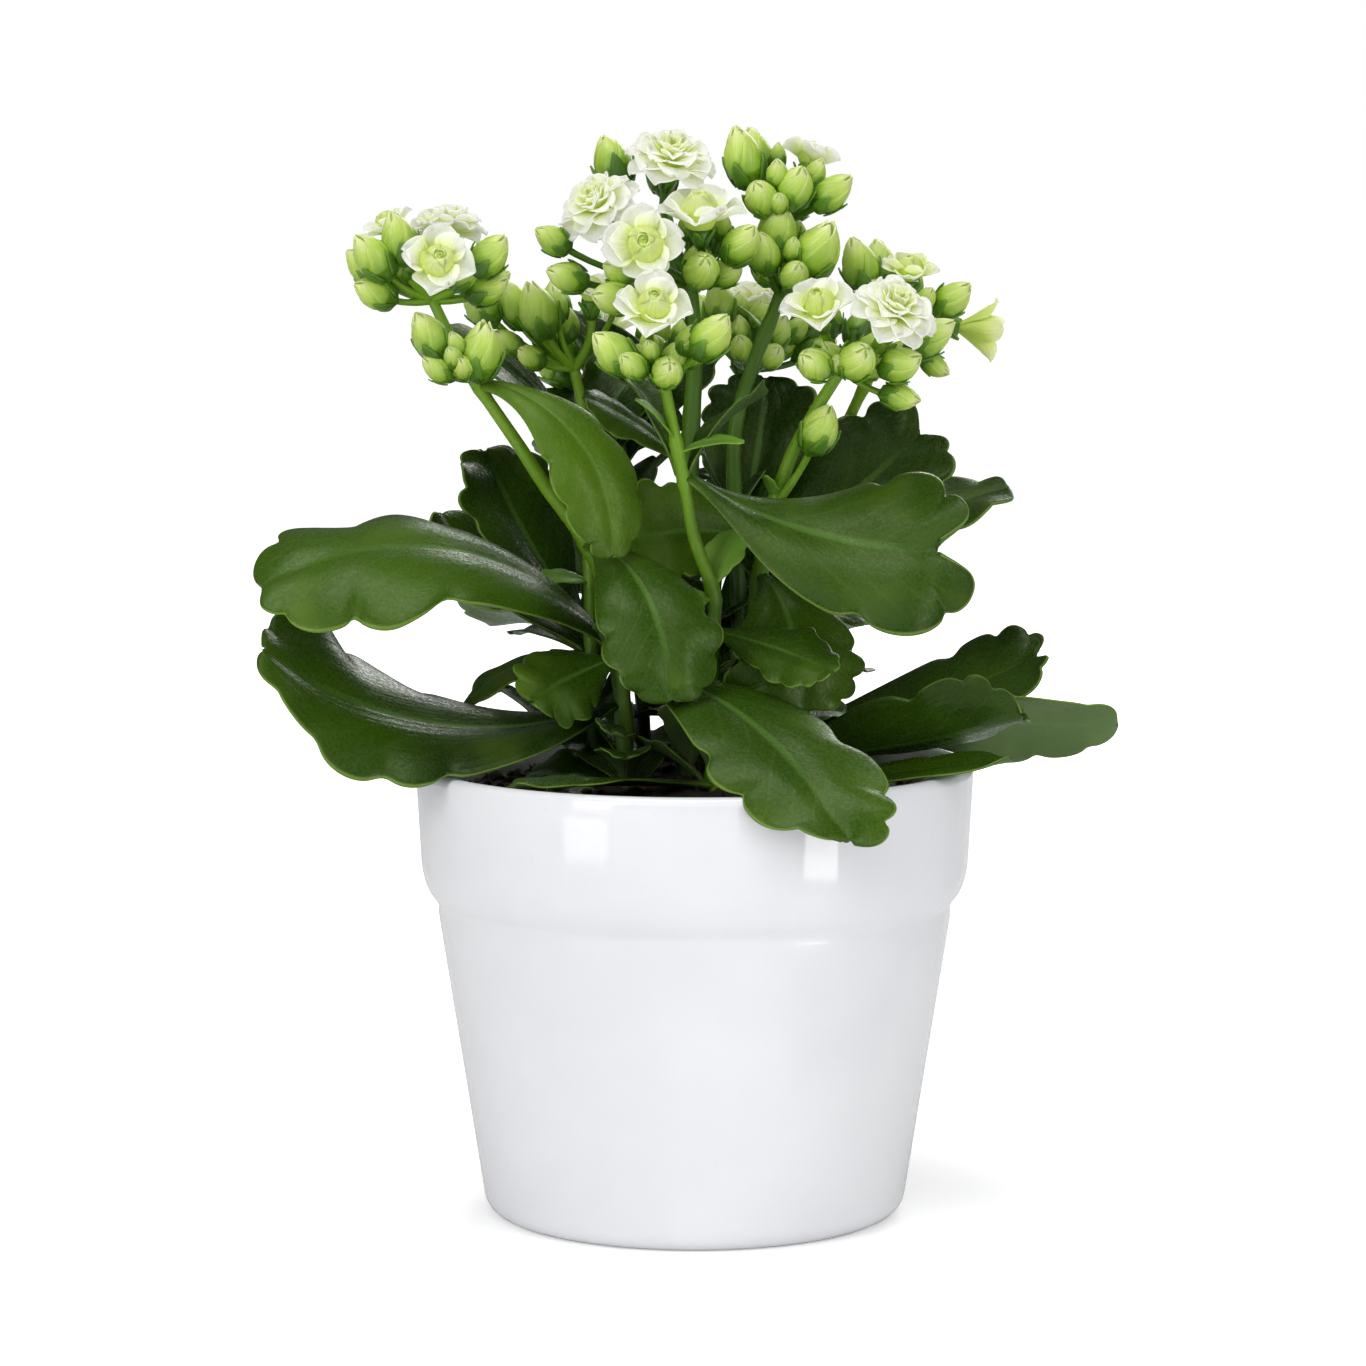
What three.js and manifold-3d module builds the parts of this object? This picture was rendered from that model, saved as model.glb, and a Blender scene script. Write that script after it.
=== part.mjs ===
// Potted kalanchoe with double white flowers, in a glazed white pot with a deep rim band.
// Millimetres, +Z up, origin at the centre of the pot's foot, the best side towards -Y.
import * as THREE from "three";
import { mergeVertices } from "three/addons/utils/BufferGeometryUtils.js";
import Module from "manifold-3d";

const wasm = await Module();
wasm.setup();

// ---------------------------------------------------------------- driving dimensions
const GAP = 0.3; // clearance between pieces that touch
const POT = {
  height: 101,
  rimRadius: 62, // outside, at the lip
  bandBottomRadius: 61,
  bandBottomZ: 77,
  bevelBottomRadius: 57,
  bevelBottomZ: 68,
  footRadius: 47.2,
  footCorner: 5, // rounded edge where the wall meets the flat foot
  wall: 4,
  floor: 6,
  segments: 32,
};
const SOIL = { top: 89, crown: 2.5 };
const BLADE = { leaf: 1.4, leafMargin: 0.7, petal: 1.1 }; // thickness
const COLOURS = {
  glaze: 0xf1f2f4,
  peat: 0x2b2018,
  leaf: 0x35601c,
  stalk: 0x6c9a3a,
  petal: 0xf3f5e0,
};

// Leaf outlines: the share of the length where the blade is widest, how square its end is (1 is an
// ellipse), the share of the margin that is plain before the rounded teeth begin, and how slowly the
// blade widens from its stalk.
const OUTLINES = {
  spoon: { waist: 0.66, square: 0.7, plain: 0.42, narrow: 0.75 },
  oval: { waist: 0.6, square: 0.85, plain: 0.36, narrow: 0.75 },
  broad: { waist: 0.6, square: 0.85, plain: 0.36, narrow: 0.45 },
  lance: { waist: 0.5, square: 1.2, plain: 0.3, narrow: 0.75 },
};

// Each flower stalk: its route from inside the soil to its last fork, its radius at the soil and at
// that fork, the heads of flowers it carries, and its small bracts.
// A flower is [bearing, elevation, reach, width, kind, facing bearing, facing elevation]. The first
// three lead from the fork to the flower's centre. Without a facing it points away from the fork.
// A bract is [height, bearing, rise, fall, length, half width].
const STALKS = {
  front: {
    route: [[4, -9, 64], [4, -9, 92], [4, -10, 118], [4, -14, 130], [4, -16, 140], [0, -19, 152],
      [-2, -22, 163], [-4, -24, 173], [-7, -26, 188]],
    radii: [1.8, 1.2],
    heads: [{
      fork: [-7, -26, 188],
      flowers: [[258, 58, 18, 18, "half", 277, 42], [215, 24, 15, 8, "bud"],
        [277, 10, 10, 6.4, "bud"], [322, 34, 17, 7.6, "bud"], [100, 30, 11, 6, "bud"]],
    }],
    bracts: [[173, 205, 62, 30, 13, 3], [171, 348, 30, -10, 14, 3.2], [139, 205, 6, -6, 14, 6.5],
      [141, 40, 70, 40, 15, 5]],
  },
  left: {
    route: [[-15, -5, 64], [-15, -5, 92], [-17, -7, 127], [-22, -10, 147], [-33, -15, 164],
      [-38, -17, 172], [-48, -19, 187], [-53, -18, 196], [-57, -16, 204]],
    radii: [2, 1.2],
    heads: [
      {
        fork: [-57, -16, 204],
        flowers: [[68, 64, 18, 18, "full", 100, 74], [278, 33, 16, 17, "half", 282, 22],
          [162, 58, 19, 13, "half", 190, 60], [232, 52, 18, 7.4, "bud"], [218, 32, 19, 7.6, "bud"],
          [172, 26, 17, 6.6, "bud"], [210, 8, 15, 6.6, "bud"], [330, 34, 19, 7.2, "bud"],
          [345, 12, 14, 6.4, "bud"], [95, 22, 15, 7, "bud"]],
      },
      {
        fork: [-48, -19, 187],
        flowers: [[219, 40, 16, 7.4, "bud"], [222, 16, 11, 5.6, "bud"], [290, 52, 10, 8.4, "opening"]],
      },
    ],
    bracts: [[192, 160, 10, 50, 6, 1.8]],
  },
  left_back: {
    route: [[-22, 4, 64], [-22, 4, 92], [-23, 8, 125], [-24, 14, 158], [-25, 14, 178], [-27, 12, 188]],
    radii: [1.9, 1.1],
    heads: [{
      fork: [-27, 12, 188],
      flowers: [[208, 32, 28, 7, "bud"], [213, 44, 22, 7, "bud"], [236, 46, 21, 8.6, "opening"],
        [120, 60, 17, 7, "bud"], [218, 14, 13, 5, "bud"], [296, 62, 20, 13, "half", 270, 74],
        [75, 36, 17, 7, "bud"]],
    }],
    bracts: [[140, 205, 20, -10, 12, 3.6], [116, 192, 30, 0, 12, 4]],
  },
  centre: {
    route: [[-2, 8, 64], [-2, 8, 92], [-1, 9, 136], [-1, 8, 170], [0, 5, 190], [-1, 1, 207]],
    radii: [2.5, 1.7],
    heads: [{
      fork: [-1, 1, 207],
      flowers: [[238, 74, 29, 21, "full", 290, 62], [212, 36, 30, 20, "full", 225, 46],
        [278, 46, 22, 20, "half", 265, 72], [248, 19, 28, 19, "half", 266, 14],
        [140, 50, 36, 8, "bud"], [112, 56, 31, 7, "bud"], [204, 17, 35, 5.6, "bud"],
        [206, 4, 31, 6.4, "bud"], [222, -6, 24, 7, "bud"], [278, 12, 19, 7.4, "bud"],
        [306, 26, 22, 7.2, "bud"], [310, 14, 14, 6, "bud"],
        [80, 34, 21, 7.5, "bud"]],
    }],
    bracts: [[196, 200, 50, 30, 9, 2.4]],
  },
  right_back: {
    route: [[9, 5, 64], [9, 5, 92], [10, 7, 125], [9, 9, 154], [9, 9, 174], [13, 7, 189],
      [19, 5, 205], [19, 4, 213], [18, 3, 221]],
    radii: [2.1, 1.3],
    heads: [
      {
        fork: [19, 5, 205],
        flowers: [[264, 58, 18, 8.6, "opening"], [252, 36, 17, 7.2, "bud"], [282, 18, 15, 6.2, "bud"],
          [308, 38, 18, 9, "opening"], [80, 34, 18, 7.5, "bud"]],
      },
      {
        fork: [18, 3, 221],
        flowers: [[224, 54, 18, 8.6, "bud"], [124, 60, 18, 8, "bud"], [252, 24, 14, 6.6, "bud"],
          [292, 36, 14, 7.2, "bud"], [330, 24, 16, 6.8, "bud"], [36, 56, 17, 13.5, "half"],
          [70, 14, 16, 6.5, "bud"]],
      },
    ],
    bracts: [[196, 150, 50, 30, 8, 2]],
  },
  right: {
    route: [[13, -3, 64], [13, -3, 92], [13, -3, 128], [15, -2, 148], [17, -3, 157], [21, -6, 169],
      [26, -10, 179], [32, -14, 189]],
    radii: [2, 1.3],
    heads: [
      {
        fork: [32, -14, 189],
        flowers: [[244, 48, 19, 17, "half", 252, 50], [306, 36, 23, 20, "full", 302, 48],
          [240, 8, 14, 7, "bud"], [284, 12, 14, 7.8, "bud"], [322, 6, 17, 7, "bud"],
          [342, 20, 22, 7.4, "bud"], [332, -22, 16, 5.6, "bud"], [70, 34, 16, 6.8, "bud"]],
      },
      { fork: [18, -4, 159], flowers: [[319, 54, 22, 7.6, "bud", 320, 62]] },
    ],
    bracts: [[159, 250, 60, 30, 8, 2]],
  },
  far_right: {
    route: [[18, 13, 64], [18, 13, 92], [21, 25, 130], [28, 31, 158], [37, 28, 180], [45, 16, 197]],
    radii: [2, 1.1],
    heads: [{
      fork: [45, 16, 197],
      flowers: [[222, 52, 19, 8, "bud"], [118, 62, 16, 8, "bud"], [292, 60, 15, 14, "half", 280, 70],
        [268, 22, 13, 6, "bud"], [325, 24, 17, 6.6, "bud"],
        [22, -2, 18, 13, "half", 10, -6], [75, 34, 17, 6.5, "bud"], [318, -36, 15, 4.6, "bud"]],
    }],
    bracts: [[183, 20, 50, 20, 8, 2]],
  },
  back: {
    route: [[3, 20, 64], [3, 20, 92], [4, 27, 130], [8, 32, 165], [12, 32, 187]],
    radii: [2, 1.2],
    heads: [{
      fork: [12, 32, 187],
      flowers: [[236, 54, 20, 6.5, "bud"], [262, 26, 13, 5, "bud"], [80, 58, 18, 18, "full"],
        [140, 44, 19, 7, "bud"], [18, 36, 20, 7.4, "bud"], [10, 14, 17, 6.4, "bud"],
        [90, 6, 16, 7, "bud"]],
    }],
    bracts: [[170, 100, 50, 20, 12, 3.2]],
  },
  back_left: {
    route: [[-11, 20, 64], [-11, 20, 92], [-13, 29, 130], [-16, 35, 160], [-19, 36, 182]],
    radii: [1.9, 1.2],
    heads: [{
      fork: [-19, 36, 182],
      flowers: [[100, 54, 17, 17, "half"], [20, 52, 18, 7, "bud"], [55, 14, 17, 6.6, "bud"],
        [150, 20, 17, 7.4, "bud"], [190, 50, 17, 7, "bud"]],
    }],
    bracts: [[168, 110, 50, 20, 12, 3.2]],
  },
};

// Each large leaf is [stalk, height on it, bearing, rise, fall, length, half width, roll, twist,
// cupping, outline, teeth on each side, slant]. rise and fall are the elevations its midrib starts and
// ends with; roll turns the blade about the midrib at its base, twist is added towards the tip, and
// cupping is how far the margins are bent up. A slant is how far its end leans: the margin on the
// left, seen from above with the tip ahead, reaches that much further and the other one less.
const LEAVES = {
  leaf_left_upper: ["left", 129, 197, 50, -32, 86, 21, -20, -8, -22, "broad", 3, 6],
  leaf_left_lower: ["left", 114, 197, -18, 40, 83, 19.5, -4, -46, -14, "broad", 4, -7],
  leaf_left_standing: ["left_back", 132, 146, 42, 66, 46, 15, -10, 0, 18, "spoon", 3],
  leaf_left_far: ["left_back", 126, 166, 36, 46, 44, 11, -24, 0, 20, "oval", 2],
  leaf_left_arching: ["left", 185.5, 340, -8, -96, 51, 10, 30, 10, -16, "oval", 3],
  leaf_centre_folded: ["left_back", 127, 0, 84, 88, 35, 6, 0, 0, 34, "lance", 3],
  leaf_left_high: ["left_back", 172, 176, 50, 28, 40, 8.5, -20, 0, 14, "oval", 3],
  leaf_centre_dark: ["centre", 176, 160, 52, 34, 36, 6, -30, 0, 12, "lance", 2],
  leaf_centre_small: ["centre", 168, 200, 44, 20, 26, 7, -34, 0, -16, "oval", 3],
  leaf_right_inner_high: ["right_back", 152, 62, 56, 84, 36, 14, 10, 0, 22, "spoon", 3],
  leaf_right_standing: ["right_back", 143, 18, 30, 42, 54, 15, 48, 0, 14, "spoon", 3],
  leaf_right_front: ["front", 165, 349, -32, 8, 64, 19, 16, 54, -18, "spoon", 2],
  leaf_right_inner: ["right", 151, 200, 14, -14, 32, 12, -62, 0, 14, "spoon", 3],
  leaf_centre_front: ["left", 150, 302, 0, -86, 50, 13, 10, 10, -20, "spoon", 3],
  leaf_low_left: ["left", 124, 214, -10, -30, 22, 10, -46, 0, -12, "oval", 3],
  leaf_left_small: ["left_back", 124, 196, 4, -46, 30, 5, -20, 0, -10, "lance", 3],
  leaf_low_centre: ["left", 109, 262, 12, -4, 13, 4.5, -20, 0, 12, "oval", 2],
  leaf_front_rim: ["left", 122, 309, 3, -46, 83, 16, 0, 22, -8, "spoon", 3, 6],
  leaf_rim_pale: ["front", 97, 217, 8, 0, 52, 8, 2, 0, 8, "oval", 3],
  leaf_right_glossy: ["right", 142, 296, -22, -90, 35, 15, 10, 0, -16, "spoon", 3],
  leaf_front_right: ["front", 131, 318, -4, -18, 33, 7, 42, 0, -10, "oval", 4],
  leaf_right_lobed: ["far_right", 140, 4, 32, 14, 50, 10, 26, 0, 14, "spoon", 2],
  leaf_right_low_back: ["far_right", 106, 352, 6, 30, 62, 13, 34, 0, 14, "spoon", 3],
  leaf_right_low_front: ["right", 103, 338, 4, 18, 62, 14, -34, 0, 46, "spoon", 3],
  leaf_right_tip: ["right_back", 101.5, 352, 16, -4, 83, 12, -20, -30, -14, "oval", 3],
  leaf_right_rim: ["right", 95, 330, 10, 10, 62, 7.5, 14, 0, 10, "lance", 3],
  leaf_back_left: ["back_left", 118, 128, 28, -14, 58, 14, 10, 0, 16, "spoon", 3],
  leaf_back_right: ["back", 118, 58, 26, -16, 60, 14, -10, 0, 14, "spoon", 3],
  leaf_back_low: ["back", 104, 98, 16, 0, 58, 14, 0, 0, 16, "spoon", 3],
  leaf_back_upper: ["back", 128, 28, 30, -10, 40, 15, 34, 0, 12, "spoon", 3],
  leaf_back_upper_left: ["back_left", 134, 150, 30, 0, 42, 14, -30, 0, 12, "spoon", 3],
};

// ---------------------------------------------------------------- solids and surfaces
const rad = THREE.MathUtils.degToRad;
const point = ([x, y, z]) => new THREE.Vector3(x, y, z);
const UP = new THREE.Vector3(0, 0, 1);
const STALK_SIDES = 6;

// Unit vector from a bearing (0 is +X, 90 is +Y) and an elevation, in degrees.
function towards(azimuth, elevation) {
  const flat = Math.cos(rad(elevation));
  return new THREE.Vector3(
    flat * Math.cos(rad(azimuth)), flat * Math.sin(rad(azimuth)), Math.sin(rad(elevation)));
}

// A closed indexed surface as a manifold-3d solid.
function solidOf(geometry) {
  const bare = geometry.clone();
  bare.deleteAttribute("normal");
  bare.deleteAttribute("uv");
  const merged = mergeVertices(bare, 1e-4);
  return new wasm.Manifold(new wasm.Mesh({
    numProp: 3,
    vertProperties: merged.attributes.position.array,
    triVerts: new Uint32Array(merged.index.array),
  }));
}

function geometryOf(solid) {
  const { vertProperties, triVerts } = solid.getMesh();
  return new THREE.BufferGeometry()
    .setAttribute("position", new THREE.BufferAttribute(new Float32Array(vertProperties), 3))
    .setIndex(new THREE.BufferAttribute(new Uint32Array(triVerts), 1));
}

const fuse = (solids) => solids.reduce((whole, next) => whole.add(next));

function indexed(vertices, faces) {
  return new THREE.BufferGeometry()
    .setAttribute("position", new THREE.Float32BufferAttribute(vertices.flatMap((v) => [v.x, v.y, v.z]), 3))
    .setIndex(faces.flat());
}

// A closed tapered tube through points. Its ends are flat, or run to a point where the radius is 0.
function tube(points, radii, sides) {
  const vertices = [];
  const faces = [];
  const pointed = radii[radii.length - 1] === 0;
  const rings = points.length - (pointed ? 1 : 0);
  let across = new THREE.Vector3(1, 0, 0);
  for (let i = 0; i < rings; i += 1) {
    const along = points[Math.min(i + 1, points.length - 1)].clone();
    along.sub(points[Math.max(i - 1, 0)]).normalize();
    across = across.clone().addScaledVector(along, -across.dot(along)).normalize();
    const other = along.clone().cross(across);
    for (let k = 0; k < sides; k += 1) {
      const turn = (2 * Math.PI * k) / sides;
      vertices.push(points[i].clone()
        .addScaledVector(across, radii[i] * Math.cos(turn))
        .addScaledVector(other, radii[i] * Math.sin(turn)));
    }
  }
  const next = (k) => (k + 1) % sides;
  for (let i = 0; i + 1 < rings; i += 1) {
    for (let k = 0; k < sides; k += 1) {
      const [a, b] = [i * sides + k, i * sides + next(k)];
      faces.push([a, b, b + sides], [a, b + sides, a + sides]);
    }
  }
  const last = (rings - 1) * sides;
  for (let k = 1; k + 1 < sides; k += 1) {
    faces.push([0, k + 1, k]);
    if (!pointed) faces.push([last, last + k, last + k + 1]);
  }
  if (pointed) {
    const tip = vertices.push(points[points.length - 1].clone()) - 1;
    for (let k = 0; k < sides; k += 1) faces.push([last + k, last + next(k), tip]);
  }
  return indexed(vertices, faces);
}

// A midrib that leaves root along a bearing and bends evenly from elevation rise to elevation fall,
// and whose roll grows evenly by twist. frameAt(a) gives its point, the sideways direction and the
// upward one at a share a of its length.
function midrib({ root, bearing, rise, fall, length, roll, twist = 0 }) {
  const STEPS = 24;
  const points = [root.clone()];
  const slope = (a) => rise + (fall - rise) * a;
  for (let i = 0; i < STEPS; i += 1) {
    points.push(points[i].clone()
      .addScaledVector(towards(bearing, slope((i + 0.5) / STEPS)), length / STEPS));
  }
  return (a) => {
    const i = Math.min(Math.max(Math.floor(a * STEPS), 0), STEPS - 1);
    const along = towards(bearing, slope(a));
    const level = towards(bearing + 90, 0);
    const lift = along.clone().cross(level);
    const turn = rad(roll + twist * a);
    return {
      at: points[i].clone().lerp(points[i + 1], a * STEPS - i),
      side: level.clone().multiplyScalar(Math.cos(turn)).addScaledVector(lift, Math.sin(turn)),
      up: lift.clone().multiplyScalar(Math.cos(turn)).addScaledVector(level, -Math.sin(turn)),
    };
  };
}

// Outline rows of a leaf from its stalk to its tip: [share of the midrib at the middle, share at the
// margin, half width, half width without teeth]. The margin widens to the waist and then rounds off;
// each rounded tooth is a notch and two full rows.
function leafOutline({ length, halfWidth, teeth, outline, slant }) {
  const { waist, square, plain, narrow } = OUTLINES[outline];
  const petiole = 1.6;
  const turning = 0.42; // share of the margin that lies before the waist
  const depth = 0.16 * halfWidth;
  const margin = (s) => {
    if (s < turning) {
      const spread = (0.5 - 0.5 * Math.cos((Math.PI * s) / turning)) ** narrow;
      return { a: (s / turning) * waist, half: petiole + (halfWidth - petiole) * spread, turn: 0 };
    }
    const turn = ((s - turning) / (1 - turning)) * (Math.PI / 2);
    return { a: waist + (1 - waist) * Math.sin(turn), half: halfWidth * Math.cos(turn) ** square, turn };
  };
  const row = (s, out) => {
    const { a, half, turn } = margin(s);
    return [
      Math.max(a - (0.2 * half) / length, 0),
      a + (0.5 * out * Math.sin(turn)) / length,
      Math.max(half + out * Math.cos(turn), 0.5),
      half,
      ((slant * half) / (halfWidth * length)) * THREE.MathUtils.smoothstep(a, 0.35, 0.8),
    ];
  };
  const rows = [row(0, 0), row(0.5 * plain, 0)];
  for (let tooth = 0; tooth < teeth; tooth += 1) {
    const start = plain + ((1 - plain) * tooth) / teeth;
    const pitch = (1 - plain) / teeth;
    rows.push(row(start, -0.6 * depth), row(start + 0.2 * pitch, 0.4 * depth));
    rows.push(row(start + 0.7 * pitch, 0.5 * depth));
  }
  rows.push([1 + (0.2 * depth) / length, 1 + (0.3 * depth) / length, 0.1 * halfWidth, 0.1 * halfWidth]);
  return rows;
}

// One closed blade on a midrib. Columns run from -1 at one margin to 1 at the other. cup bends the
// blade's cross section into an arc, which is turned by that many degrees at its margins.
function blade({ frameAt, rows, columns, thickness, margin, cup }) {
  const bend = Math.abs(cup) < 1 ? rad(1) : rad(cup);
  const middle = rows.map(([along, edge, toothed, plain = toothed, lean = 0]) => columns.map((c) => {
    const share = Math.abs(c);
    const half = share === 1 ? toothed : plain;
    const { at, side, up } = frameAt(along + (edge - along) * share ** 2 + lean * c);
    const angle = bend * share;
    return at.clone()
      .addScaledVector(side, (Math.sign(c) * half * Math.sin(angle)) / bend)
      .addScaledVector(up, (half * (1 - Math.cos(angle))) / bend);
  }));
  const nRows = rows.length;
  const nColumns = columns.length;
  const normalAt = (i, j) => {
    const along = middle[Math.min(i + 1, nRows - 1)][j].clone().sub(middle[Math.max(i - 1, 0)][j]);
    const over = middle[i][Math.min(j + 1, nColumns - 1)].clone().sub(middle[i][Math.max(j - 1, 0)]);
    return along.cross(over).normalize();
  };
  const half = (j) => (thickness + (margin - thickness) * Math.abs(columns[j]) ** 2) / 2;
  const sharp = margin === 0;
  const vertices = [];
  const top = [];
  const bottom = [];
  middle.forEach((row, i) => {
    top.push([]);
    bottom.push([]);
    row.forEach((p, j) => {
      const normal = normalAt(i, j);
      top[i].push(vertices.push(p.clone().addScaledVector(normal, half(j))) - 1);
      const shared = sharp && (j === 0 || j === nColumns - 1);
      bottom[i].push(shared ? top[i][j] : vertices.push(p.clone().addScaledVector(normal, -half(j))) - 1);
    });
  });
  const faces = [];
  const quad = (a, b, c, d) => faces.push([a, b, c], [a, c, d]);
  for (let i = 0; i + 1 < nRows; i += 1) {
    for (let j = 0; j + 1 < nColumns; j += 1) {
      if (columns[j] < 0) {
        quad(top[i][j], top[i + 1][j], top[i + 1][j + 1], top[i][j + 1]);
        quad(bottom[i + 1][j + 1], bottom[i + 1][j], bottom[i][j], bottom[i][j + 1]);
      } else {
        quad(top[i + 1][j], top[i + 1][j + 1], top[i][j + 1], top[i][j]);
        quad(bottom[i][j + 1], bottom[i + 1][j + 1], bottom[i + 1][j], bottom[i][j]);
      }
    }
    if (!sharp) {
      const j = nColumns - 1;
      quad(bottom[i][0], bottom[i + 1][0], top[i + 1][0], top[i][0]);
      quad(top[i][j], top[i + 1][j], bottom[i + 1][j], bottom[i][j]);
    }
  }
  const last = nRows - 1;
  for (let j = 0; j + 1 < nColumns; j += 1) {
    quad(top[0][j], top[0][j + 1], bottom[0][j + 1], bottom[0][j]);
    quad(bottom[last][j], bottom[last][j + 1], top[last][j + 1], top[last][j]);
  }
  return indexed(vertices, faces.filter(([a, b, c]) => a !== b && b !== c && c !== a));
}

// ---------------------------------------------------------------- pot and soil
// Radius of the pot's inside wall at a height.
function insideRadius(z) {
  const stops = [[0, POT.footRadius], [POT.bevelBottomZ, POT.bevelBottomRadius],
    [POT.bandBottomZ, POT.bandBottomRadius], [POT.height, POT.rimRadius]];
  const i = Math.max(stops.findIndex(([height]) => height > z), 1);
  const [[z0, r0], [z1, r1]] = [stops[i - 1], stops[i]];
  return r0 + ((r1 - r0) * (z - z0)) / (z1 - z0) - POT.wall;
}

// The pot's outside and inside as one closed profile of [radius, height].
function potProfile() {
  const lip = POT.wall / 2;
  const flat = POT.footRadius - POT.footCorner;
  const corner = [30, 70].map((t) => [
    flat + POT.footCorner * Math.sin(rad(t)), POT.footCorner * (1 - Math.cos(rad(t)))]);
  const rounded = [0, 60, 120, 180].map((t) => [
    POT.rimRadius - lip + lip * Math.cos(rad(t)), POT.height - lip + lip * Math.sin(rad(t))]);
  const inside = [POT.bandBottomZ, POT.bevelBottomZ, POT.floor + 4].map((z) => [insideRadius(z), z]);
  return [
    [0, 0], [flat, 0], ...corner, [POT.bevelBottomRadius, POT.bevelBottomZ],
    [POT.bandBottomRadius, POT.bandBottomZ], ...rounded, ...inside,
    [insideRadius(POT.floor) - 4, POT.floor], [0, POT.floor],
  ];
}

// Turned about +Z: three.js turns a profile about its own Y.
function turned(profile, segments) {
  const shape = new THREE.LatheGeometry(profile.map(([r, z]) => new THREE.Vector2(r, z)), segments);
  return shape.rotateX(Math.PI / 2);
}

// Peat that fills the pot, slightly crowned, with a plain hole for each stalk.
function soilGeometry() {
  const wall = (z) => insideRadius(z) - GAP;
  const low = POT.floor + 4;
  const profile = [
    [0, POT.floor + GAP], [wall(POT.floor) - 4, POT.floor + GAP], [wall(low), low],
    [wall(POT.bevelBottomZ), POT.bevelBottomZ], [wall(SOIL.top), SOIL.top],
    [wall(SOIL.top) * 0.6, SOIL.top + SOIL.crown], [0, SOIL.top + SOIL.crown]];
  const holes = Object.values(STALKS).map(({ route: [[x, y, z]], radii: [radius] }) => solidOf(
    tube([point([x, y, z - GAP]), point([x, y, 99])], [radius + GAP, radius + GAP], STALK_SIDES)));
  const whole = solidOf(turned(profile, POT.segments / 2));
  return geometryOf(holes.reduce((soil, hole) => soil.subtract(hole), whole));
}

// ---------------------------------------------------------------- stalks, buds and bracts
// Where a stalk's axis passes a height, and how far its level section reaches from the axis there.
function stalkAt(name, z) {
  const { route, radii } = STALKS[name];
  const i = Math.max(route.findIndex(([, , height]) => height >= z), 1);
  const share = (z - route[i - 1][2]) / (route[i][2] - route[i - 1][2]);
  const whole = (i - 1 + share) / (route.length - 1);
  const lean = point(route[i]).sub(point(route[i - 1])).normalize();
  return {
    at: point(route[i - 1]).lerp(point(route[i]), share),
    radius: (radii[0] + (radii[1] - radii[0]) * whole) / lean.z,
  };
}

// Half the height of each kind of flower, as a share of its width.
const HALF_HEIGHT = { bud: 0.66, opening: 0.74, half: 0.2, full: 0.2 };
const CALYX = { length: 4.6, radius: 2.2 };

const isOpen = (kind) => kind === "half" || kind === "full";

// A flower's base, the way it faces, and where its short stem ends.
function flowerPlace(fork, [azimuth, elevation, reach, width, kind, faceAzimuth, faceElevation]) {
  const axis = faceAzimuth === undefined
    ? towards(azimuth, Math.min(elevation + 14, 86)) : towards(faceAzimuth, faceElevation);
  const centre = point(fork).addScaledVector(towards(azimuth, elevation), reach);
  const base = centre.addScaledVector(axis, -HALF_HEIGHT[kind] * width);
  const foot = base.clone().addScaledVector(axis, isOpen(kind) ? -CALYX.length - GAP : 0);
  return { base, axis, foot };
}

// A short stem that swells into a closed bud, or into the green cup that an open flower sits in.
function flowerStem(fork, flower) {
  const [, , , width, kind] = flower;
  const { axis, foot } = flowerPlace(fork, flower);
  const height = 2 * HALF_HEIGHT[kind] * width;
  const swell = isOpen(kind)
    ? [[0, 0.9], [0.4 * CALYX.length, 0.85 * CALYX.radius], [CALYX.length, CALYX.radius]]
    : [[0, 0.9], [0.14 * height, 0.34 * width], [0.48 * height, 0.5 * width],
      [0.84 * height, 0.3 * width], [height, 0]];
  const points = [point(fork), ...swell.map(([along]) => foot.clone().addScaledVector(axis, along))];
  return tube(points, [0.8, ...swell.map(([, radius]) => radius)], isOpen(kind) ? 4 : 5);
}

function bract(name, [z, bearing, rise, fall, length, halfWidth]) {
  const roll = bearing > 180 && bearing < 300 ? -24 : 16;
  const frameAt = midrib({ root: stalkAt(name, z).at, bearing, rise, fall, length: length + 1, roll });
  const rows = [[0, 0, 0.8], [0.3, 0.35, 0.75 * halfWidth], [0.5, 0.58, halfWidth],
    [0.58, 0.68, 0.76 * halfWidth], [0.74, 0.82, 0.74 * halfWidth], [1, 1, 0.3]];
  return blade({ frameAt, rows, columns: [-1, 0, 1], thickness: 1.1, margin: 0, cup: 12 });
}

function stalkGeometry(name) {
  const { route, radii, heads, bracts } = STALKS[name];
  const points = route.map(point);
  const taper = points.map((_, i) => radii[0] + ((radii[1] - radii[0]) * i) / (points.length - 1));
  const flowers = heads.flatMap((head) => head.flowers.map((flower) => flowerStem(head.fork, flower)));
  const small = bracts.map((spec) => bract(name, spec));
  return geometryOf(fuse([tube(points, taper, STALK_SIDES), ...flowers, ...small].map(solidOf)));
}

// ---------------------------------------------------------------- large leaves
function leafGeometry([
  stalk, z, bearing, rise, fall, length, halfWidth, roll, twist, cup, outline, teeth, slant = 0,
]) {
  const { at, radius } = stalkAt(stalk, z);
  const clear = radius + GAP + 0.7 * BLADE.leaf * Math.abs(Math.sin(rad(rise)));
  const root = at.addScaledVector(towards(bearing, 0), clear);
  return blade({
    frameAt: midrib({ root, bearing, rise, fall, length, roll, twist }),
    rows: leafOutline({ length, halfWidth, teeth, outline, slant }),
    columns: halfWidth > 14 ? [-1, -0.5, 0, 0.5, 1] : [-1, 0, 1],
    cup,
    thickness: BLADE.leaf,
    margin: BLADE.leafMargin,
  });
}

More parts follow.
